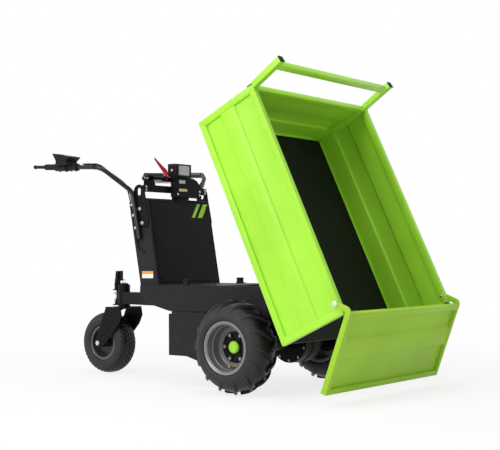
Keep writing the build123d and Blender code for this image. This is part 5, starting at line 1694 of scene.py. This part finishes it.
@dataclass
class Skip:
    """The tipped skip: pressed walls in square tube, floor, subframe and headboard rack."""

    length: float = 1.035
    half_width: float = 0.443
    height: float = 0.325
    depth: float = 0.025
    bar: float = 0.03
    sheet: float = 0.003
    corner: float = 0.0022
    rack_lean: float = 8.0
    # sheet: height over the lower edge, depth of its outer face under the frame's
    section: tuple = mm((28, 10.5), (111.5, 10.5), (115, 9.8), (121, 3), (124.5, 1.5), (195.5, 1.5),
                        (199, 3), (205, 9.8), (208.5, 10.5), (297, 10.5))

    def wall_point(self, wall: Wall, run: float, up: float, deep: float) -> Vector:
        """A point of a wall.

        Args:
            wall: The wall.
            run: Distance along the wall.
            up: Height over its lower edge.
            deep: Depth under its outer face.

        Returns:
            The point in the machine's frame.
        """
        if wall is Wall.HEADBOARD:
            return SKIP.at(deep, run, up)
        hand = -1 if wall is Wall.RIGHT else 1
        return SKIP.at(run, hand * (self.half_width - deep), up)

    def tube(self, shape: Shape, wall: Wall, corners: Sequence[tuple[float, float]], deep: float) -> None:
        """Adds one mitred tube of a wall's frame with rounded edges."""
        outline = [self.wall_point(wall, run, up, 0.0) for run, up in corners]
        inner = self.wall_point(wall, *corners[0], deep)
        shape.rounded_plate(outline, inner - outline[0], self.corner)

    def wall(self, wall: Wall) -> None:
        """Builds one wall: four mitred tubes and the pressed sheet between them."""
        if wall is Wall.HEADBOARD:
            start, end = -(self.half_width - self.depth), self.half_width - self.depth
        else:
            start, end = 0.0, self.length
        top, bar = self.height, self.bar
        frame_shape = Shape()
        for corners in mitred(start, end, top, bar):
            self.tube(frame_shape, wall, corners, self.depth)
        sheet = Shape()
        outer = [(up, deep) for up, deep in self.section]
        inner = [(up, deep + self.sheet) for up, deep in reversed(self.section)]
        rings = [[sheet.bm.verts.new(self.wall_point(wall, run, up, deep)) for up, deep in outer + inner]
                 for run in (start + bar - 0.002, end - bar + 0.002)]
        sheet.bridge(rings)
        low, high = start + bar, end - bar
        for up in (0.0312, 0.2938):
            weld(sheet, [self.wall_point(wall, run, up, 0.0095) for run in (low, high)], 0.0016)
        for run in (low + 0.001, high - 0.001):
            for first, last in ((0.034, 0.112), (0.208, 0.292)):
                weld(sheet, [self.wall_point(wall, run, up, 0.0095) for up in (first, last)], 0.0016)
        tubes, panel = frame_shape.done("tubes", 30.0), sheet.done("panel", 24.0)
        whole = joined(wall.value + "_pressed", (tubes, panel), 26.0)
        DRESSER.add(whole, "skip", Finish.LIME_PAINT, (wall.value,))

    @property
    def rack_frame(self) -> Slant:
        """Frame of the leaning rack, from the foot of its posts."""
        lean = math.radians(self.rack_lean)
        up = (SKIP.up * math.cos(lean) - SKIP.along * math.sin(lean)).normalized()
        along = (SKIP.along * math.cos(lean) + SKIP.up * math.sin(lean)).normalized()
        return Slant(SKIP.at(0.003, 0, self.height), along, up)

    def rack(self) -> None:
        """Replaces the headboard rack by one of rounded square tube with welds."""
        tube, rise, rack = 0.028, 0.165, self.rack_frame
        shape = Shape()
        edge = self.half_width
        for side in (-1, 1):
            lo, hi = sorted((side * edge, side * (edge - tube)))
            shape.block((-tube / 2, lo, 0.003), (tube / 2, hi, rise), 0.0028, rack.matrix)
            heel = Slant(SKIP.at(0.003, 0, self.height), SKIP.along, SKIP.up)
            shape.block((-tube / 2, lo, 0.0), (tube / 2, hi, 0.006), 0.001, heel.matrix)
            weld(shape, [SKIP.at(0.003 + tube / 2, lo, self.height + 0.001),
                         SKIP.at(0.003 + tube / 2, hi, self.height + 0.001)], 0.0024)
        levels = (rise - 0.034 - tube / 2, rise - 0.034 + tube / 2)
        shape.block((-tube / 2, -edge + tube, levels[0]), (tube / 2, edge - tube, levels[1]), 0.0028,
                    rack.matrix)
        for side in (-1, 1):
            y = side * (edge - tube)
            for height in levels:
                weld(shape, [rack.at(-tube / 2, y, height), rack.at(tube / 2, y, height)], 0.002)
        shape.piece("rack_tubes", "skip", Finish.LIME_PAINT, ("skip_rack",))

    def rear_face(self) -> None:
        """Adds what sits on the headboard's rear face: lugs, strip screws and clamp bar."""
        lugs = Shape()
        for side in (-1, 1):
            for y in (0.408, 0.372):
                lo, hi = sorted((side * y, side * (y - 0.006)))
                outline = [(-0.0005, 0.15), (-0.018, 0.158), (-0.021, 0.172), (-0.012, 0.186), (-0.012, 0.2),
                           (-0.02, 0.208), (-0.018, 0.224), (-0.0005, 0.232)]
                lugs.plate([SKIP.at(a, lo, u) for a, u in outline], (0, hi - lo, 0))
        lugs.piece("headboard_lugs", "skip", Finish.LIME_PAINT, smooth=20.0)
        bar = Shape().block((-0.0085, -0.372, 0.062), (-0.006, 0.372, 0.078), 0.0006, SKIP.matrix)
        bar.piece("strip_clamp", "skip", Finish.BLACK_PAINT)
        places = [(SKIP.at(-0.0085, -0.35 + 0.1 * step, 0.07), -SKIP.along) for step in range(8)]
        bolts("strip_bolts", "skip", places, 0.0048)

    def floor_details(self) -> None:
        """Adds the floor's welds and its lip at the mouth."""
        shape = Shape()
        inner = self.half_width - self.depth
        for side in (-1, 1):
            weld(shape, [SKIP.at(run, side * (inner - 0.0008), 0.0275) for run in (0.03, 1.03)], 0.0022)
            for y in (0.13, 0.17):
                weld(shape, [SKIP.at(run, side * y, 0.0215) for run in (0.1, 0.93)], 0.002)
        weld(shape, [SKIP.at(0.0262, -inner + 0.01, 0.0275), SKIP.at(0.0262, inner - 0.01, 0.0275)], 0.0022)
        shape.piece("floor_welds", "skip", Finish.CHARCOAL_PAINT, smooth=60.0)
        lip = Shape().block((1.033, -inner, 0.0205), (1.035, inner, 0.028), 0.0006, SKIP.matrix)
        lip.piece("floor_lip", "skip", Finish.CHARCOAL_PAINT)

    def hinge_details(self) -> None:
        """Adds the heads of the skip's hinge pin and its grease nipples."""
        low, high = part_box("skip_hinge_pin")
        shape = Shape()
        for side, y in ((-1, low.y), (1, high.y)):
            shape.turned(mm((0.5, 0), (0.5, 9.8), (0, 15), (-4, 15), (-5, 14), (-5, 0)),
                         (SKIP_HINGE.x, y, SKIP_HINGE.z), (0, -side, 0), segments=28)
        shape.piece("hinge_pin_heads", "frame", Finish.ZINC)
        nipples = Shape()
        for side in (-1, 1):
            nipples.turned(mm((0, 3.6), (4, 3.6), (5, 2.2), (8, 2.2), (9.5, 3), (11, 2), (11, 0)),
                           SKIP.at(0.729, side * 0.17, -0.012), (0, side, 0), segments=14)
        nipples.piece("grease_nipples", "skip", Finish.BRASS)

    def caps(self) -> None:
        """Replaces the black caps on the rack's posts and the side rails by rounded ones."""
        rack, shape = self.rack_frame, Shape()
        for side in (-1, 1):
            y = side * (self.half_width - 0.014)
            shape.block((-0.015, y - 0.015, 0.1652), (0.015, y + 0.015, 0.17), 0.0022, rack.matrix)
            lo, hi = sorted((side * self.half_width, side * (self.half_width - self.depth)))
            shape.block((-0.005, lo, self.height - 0.03), (-0.0002, hi, self.height), 0.0018, SKIP.matrix)
        shape.piece("end_caps", "skip", Finish.BLACK_PLASTIC, ("skip_end_caps",))

    def build(self) -> None:
        """Builds the skip."""
        for wall in Wall:
            self.wall(wall)
        self.rack()
        self.rear_face()
        self.floor_details()
        self.hinge_details()
        self.caps()


@dataclass
class Tailgate:
    """The tailgate: framed pressed sheet on two hooked arms, hung on side pins."""

    offset: float = 0.055
    thickness: float = 0.025
    top_drop: float = 0.01
    height: float = 0.343
    half_width: float = 0.451
    bar: float = 0.024
    arm_plate: float = 0.005
    corner: float = 0.002
    arm_corner: float = 0.0012
    # sheet: distance under the frame's top, depth of its outer face under the frame's
    section: tuple = mm((20, 12), (98, 12), (100.5, 11), (112.5, 3), (115, 2), (189, 2), (192.5, 3.6),
                        (198, 10.4), (201.5, 12), (322, 12))

    def face_point(self, y: float, down: float, deep: float) -> Vector:
        """A point of the gate: across it, under its top and under its outer face."""
        return GATE.at(self.offset + self.thickness - deep, y, -self.top_drop - down)

    def leaf(self) -> None:
        """Builds the frame, the sheet with its raised band and the hooked arms."""
        wide, tall, bar = self.half_width, self.height, self.bar
        shape = Shape()
        for corners in mitred(-wide, wide, tall, bar):
            outline = [self.face_point(y, down, 0.0) for y, down in corners]
            shape.rounded_plate(outline, -GATE.along * self.thickness, self.corner)
        for side in (-1, 1):
            inner = side * (wide - self.arm_plate)
            outline = ((0, 0.012), (0.052, 0.012), (0.064, 0.0105), (0.0735, 0.0045), (0.0785, -0.005),
                       (0.08, -0.016), (0.08, -0.04), (0.055, -0.04), (0.055, -0.018), (0.0535, -0.0135),
                       (0.049, -0.012), (0, -0.012), (-0.006, -0.0104), (-0.0104, -0.006), (-0.012, 0.0),
                       (-0.0104, 0.006), (-0.006, 0.0104))
            shape.rounded_plate([GATE.at(a, inner, u) for a, u in outline],
                                (0, side * (self.arm_plate - 0.0004), 0), self.arm_corner)
        frame_piece = shape.done("gate_frame", 30.0)
        sheet = Shape()
        rings = []
        for y in (-wide + bar - 0.002, wide - bar + 0.002):
            outer = [self.face_point(y, down, deep) for down, deep in self.section]
            inner = [self.face_point(y, down, deep + 0.003) for down, deep in reversed(self.section)]
            rings.append([sheet.bm.verts.new(p) for p in outer + inner])
        sheet.bridge(rings)
        for down in (bar + 0.001, tall - bar - 0.001):
            weld(sheet, [self.face_point(y, down, 0.0112) for y in (-wide + bar, wide - bar)], 0.0016)
        leaf = joined("tailgate_leaf", (frame_piece, sheet.done("gate_sheet", 24.0)), 26.0)
        # the leaf takes the darker lime of painted shade
        DRESSER.add(leaf, "gate", Finish.GATE_SHADED_LIME, ("tailgate",))

    def pads(self) -> None:
        """Adds the gate's black corner pads."""
        pads = Shape()
        for side in (-1, 1):
            near, far = side * 0.412, side * 0.352
            outline = [GATE.at(self.offset, near, -0.012), GATE.at(self.offset, far, -0.012),
                       GATE.at(self.offset - 0.006, far, -0.012), GATE.at(self.offset - 0.022, near, -0.012)]
            pads.plate(outline, -GATE.up * 0.016)
        pads.piece("gate_corner_pads", "gate", Finish.SOFT_RUBBER, smooth=20.0)

    def pins(self) -> None:
        """Replaces the hinge pins by bright ones with domed heads and washers."""
        centre = pivot("gate_swing")
        shape = Shape()
        for side in (-1, 1):
            start = Vector((centre.x, side * 0.4092, centre.z))
            shape.turned(mm((0, 0), (0, 5.2), (1, 6), (42.5, 6), (42.5, 11.8), (44, 12), (45.5, 11.8),
                            (47.5, 9.8), (48.9, 6), (49.3, 0)),
                         start, (0, side, 0), segments=32)
        shape.piece("gate_pins", "skip", Finish.CHROME_BALL, ("tailgate_pins",))

    def build(self) -> None:
        """Builds the tailgate."""
        self.leaf()
        self.pads()
        self.pins()


# ---------------------------------------------------------------- tipping cylinder


@dataclass
class TippingCylinder:
    """The tipping cylinder: gland and ports on the barrel, wiper ring, pin details."""

    lean: Vector = field(default_factory=lambda: Vector((0.366731, 0, 0.930327)).normalized())

    def build(self) -> None:
        """Builds the cylinder."""
        pin = pivot("barrel_pivot")
        lean = tuple(self.lean)
        gland = Shape().turned(mm((288, 24.6), (288, 27.2), (290, 28), (310, 28), (313, 27.2),
                                  (317.5, 21.5), (317.5, 12.6), (312, 12.6), (312, 23.5)),
                               pin, lean, segments=40, closed=True)
        gland.piece("cylinder_gland", "barrel", Finish.BLACK_PAINT)
        wiper = Shape().turned(mm((317, 12.4), (317, 16.5), (319, 16), (320.5, 12.8)),
                               pin, lean, segments=40, closed=True)
        wiper.piece("cylinder_wiper", "barrel", Finish.RED_PLASTIC)
        pipe = Shape()
        for y in (-0.011, 0.011):
            foot = pin + self.lean * 0.052 + Vector((0, y, 0))
            square = self.lean.cross(Vector((0, 1, 0)))
            back = square.normalized() * (1 if square.x < 0 else -1)
            reach = 0.276 if y > 0 else 0.09
            pipe.swept(smooth_path((foot + back * 0.022, foot + back * 0.031 + self.lean * 0.006,
                                    foot + back * 0.0315 + self.lean * (reach - 0.07),
                                    foot + back * 0.022 + self.lean * (reach - 0.058)), 6), 0.0032, 10)
        pipe.piece("cylinder_pipes", "barrel", Finish.ZINC)
        eye = Vector(((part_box("eye_pins")[0].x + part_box("eye_pins")[1].x) / 2, 0,
                      (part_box("eye_pins")[0].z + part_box("eye_pins")[1].z) / 2))
        clips = Shape()
        for side in (-1, 1):
            clips.turned(mm((0, 0), (0, 8.5), (1.6, 8.5), (2.2, 7.5), (2.2, 0)),
                         eye + Vector((0, side * 0.0323, 0)), (0, side, 0), segments=24)
        clips.piece("eye_pin_clips", "skip", Finish.ZINC)


# ---------------------------------------------------------------- studio


@dataclass
class Studio:
    """Pale floor, soft lamps, even world and the camera."""

    azimuth: float = 38.105
    rise: float = 1.798
    roll: float = -0.454
    place: Point = (3.1947, -3.9203, 0.5797)
    lens: float = 77.234
    floor_radius: float = 40.0
    # lamp: name, place, what it faces, width and height, watts
    lamps: tuple = (("key", (-0.3, -4.6, 2.6), (0.1, 0.0, 0.6), (2.6, 2.0), 125.0),
                    ("top", (0.6, -0.8, 4.6), (0.2, 0.0, 0.6), (2.4, 2.4), 70.0),
                    ("rear", (-2.6, 3.2, 3.0), (0.0, 0.0, 0.7), (3.6, 3.0), 18.0))

    def seen_directly(self, g: Graph) -> Signal:
        """1 for camera, glossy and transmission rays, and 0 for the rest."""
        rays = [g.node("ShaderNodeLightPath", output=f"Is {kind} Ray")
                for kind in ("Camera", "Glossy", "Transmission")]
        return rays[0].highest(rays[1]).highest(rays[2])

    def floor(self) -> None:
        """Adds the pale floor, which keeps the shadow."""
        disc = Shape()
        ring = [disc.bm.verts.new((self.floor_radius * math.cos(a), self.floor_radius * math.sin(a), -0.0005))
                for a in (2 * math.pi * k / 96 for k in range(96))]
        disc.bm.faces.new(ring)
        floor = disc.done("studio_floor")
        g = Graph("studio_floor")
        paper = g.node("ShaderNodeBsdfDiffuse", inputs={"Color": (0.88, 0.88, 0.88)})
        glow = g.node("ShaderNodeEmission", inputs={"Color": (1.0, 1.0, 1.0), "Strength": 1.0})
        far = g.radius_flat().step(0.9, 3.2)
        mixed = g.node("ShaderNodeMixShader", inputs={0: self.seen_directly(g) * (far * 0.2 + 0.8), 1: paper,
                                                      2: glow})
        g.tree.links.new(mixed.socket, g.out.inputs["Surface"])
        floor.data.materials.append(g.material)
        floor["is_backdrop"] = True

    def world(self) -> None:
        """Sets an even world that is white where it is seen."""
        world = bpy.data.worlds.new("studio")
        g = Graph("studio", world)
        level = self.seen_directly(g) * 0.5 + 0.5
        sky = g.node("ShaderNodeBackground", inputs={"Color": (1.0, 1.0, 1.0), "Strength": level})
        g.tree.links.new(sky.socket, g.out.inputs["Surface"])
        bpy.context.scene.world = world

    def lamp(self, name: str, place: Point, target: Point, size: tuple[float, float], power: float) -> None:
        """Adds one soft lamp that faces a target."""
        light = bpy.data.lights.new(name, "AREA")
        light.shape = "RECTANGLE"
        light.size, light.size_y = size
        light.energy = power
        made = shown(name, light)
        made.location = place
        made.rotation_euler = (Vector(target) - Vector(place)).to_track_quat("-Z", "Y").to_euler()

    def camera(self) -> None:
        """Adds the camera."""
        data = bpy.data.cameras.new("camera")
        data.sensor_width = 36.0
        data.lens = self.lens
        data.clip_end = 200.0
        made = shown("camera", data)
        turn, rise = math.radians(self.azimuth), math.radians(self.rise)
        ahead = Vector((-math.sin(turn) * math.cos(rise), math.cos(turn) * math.cos(rise), math.sin(rise)))
        made.location = self.place
        level = ahead.to_track_quat("-Z", "Y")
        made.rotation_euler = (level @ Quaternion((0, 0, 1), math.radians(self.roll))).to_euler()
        bpy.context.scene.camera = made

    def build(self) -> None:
        """Builds the studio."""
        self.floor()
        self.world()
        for row in self.lamps:
            self.lamp(*row)
        self.camera()
        bpy.context.scene.view_settings.view_transform = "Standard"


def write_sizes() -> None:
    """Puts the boxes of the carried-over solids and of the finished model into plain lists, which are not kept.
    """
    def plain(value: object) -> object:
        """A box as plain lists of numbers."""
        return [plain(item) for item in value] if hasattr(value, "__len__") else round(float(value), 6)

    {"solids": plain(CAD_BOX), "visual": plain(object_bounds())}


def main() -> None:
    """Dresses the carried-over solids, then builds the sub-assemblies in order and the studio."""
    DRESSER.dress_carried()
    for assembly in (DriveWheel("right"), DriveWheel("left"), Castor(), Chassis(), Tower(), ControlGroup(),
                     Handlebars(), Skip(), Tailgate(), TippingCylinder()):
        log.info("building %s", type(assembly).__name__)
        assembly.build()
    Studio().build()
    write_sizes()
    log.info("%d new pieces", len(DRESSER.pieces))


if __name__ == "__main__":
    main()
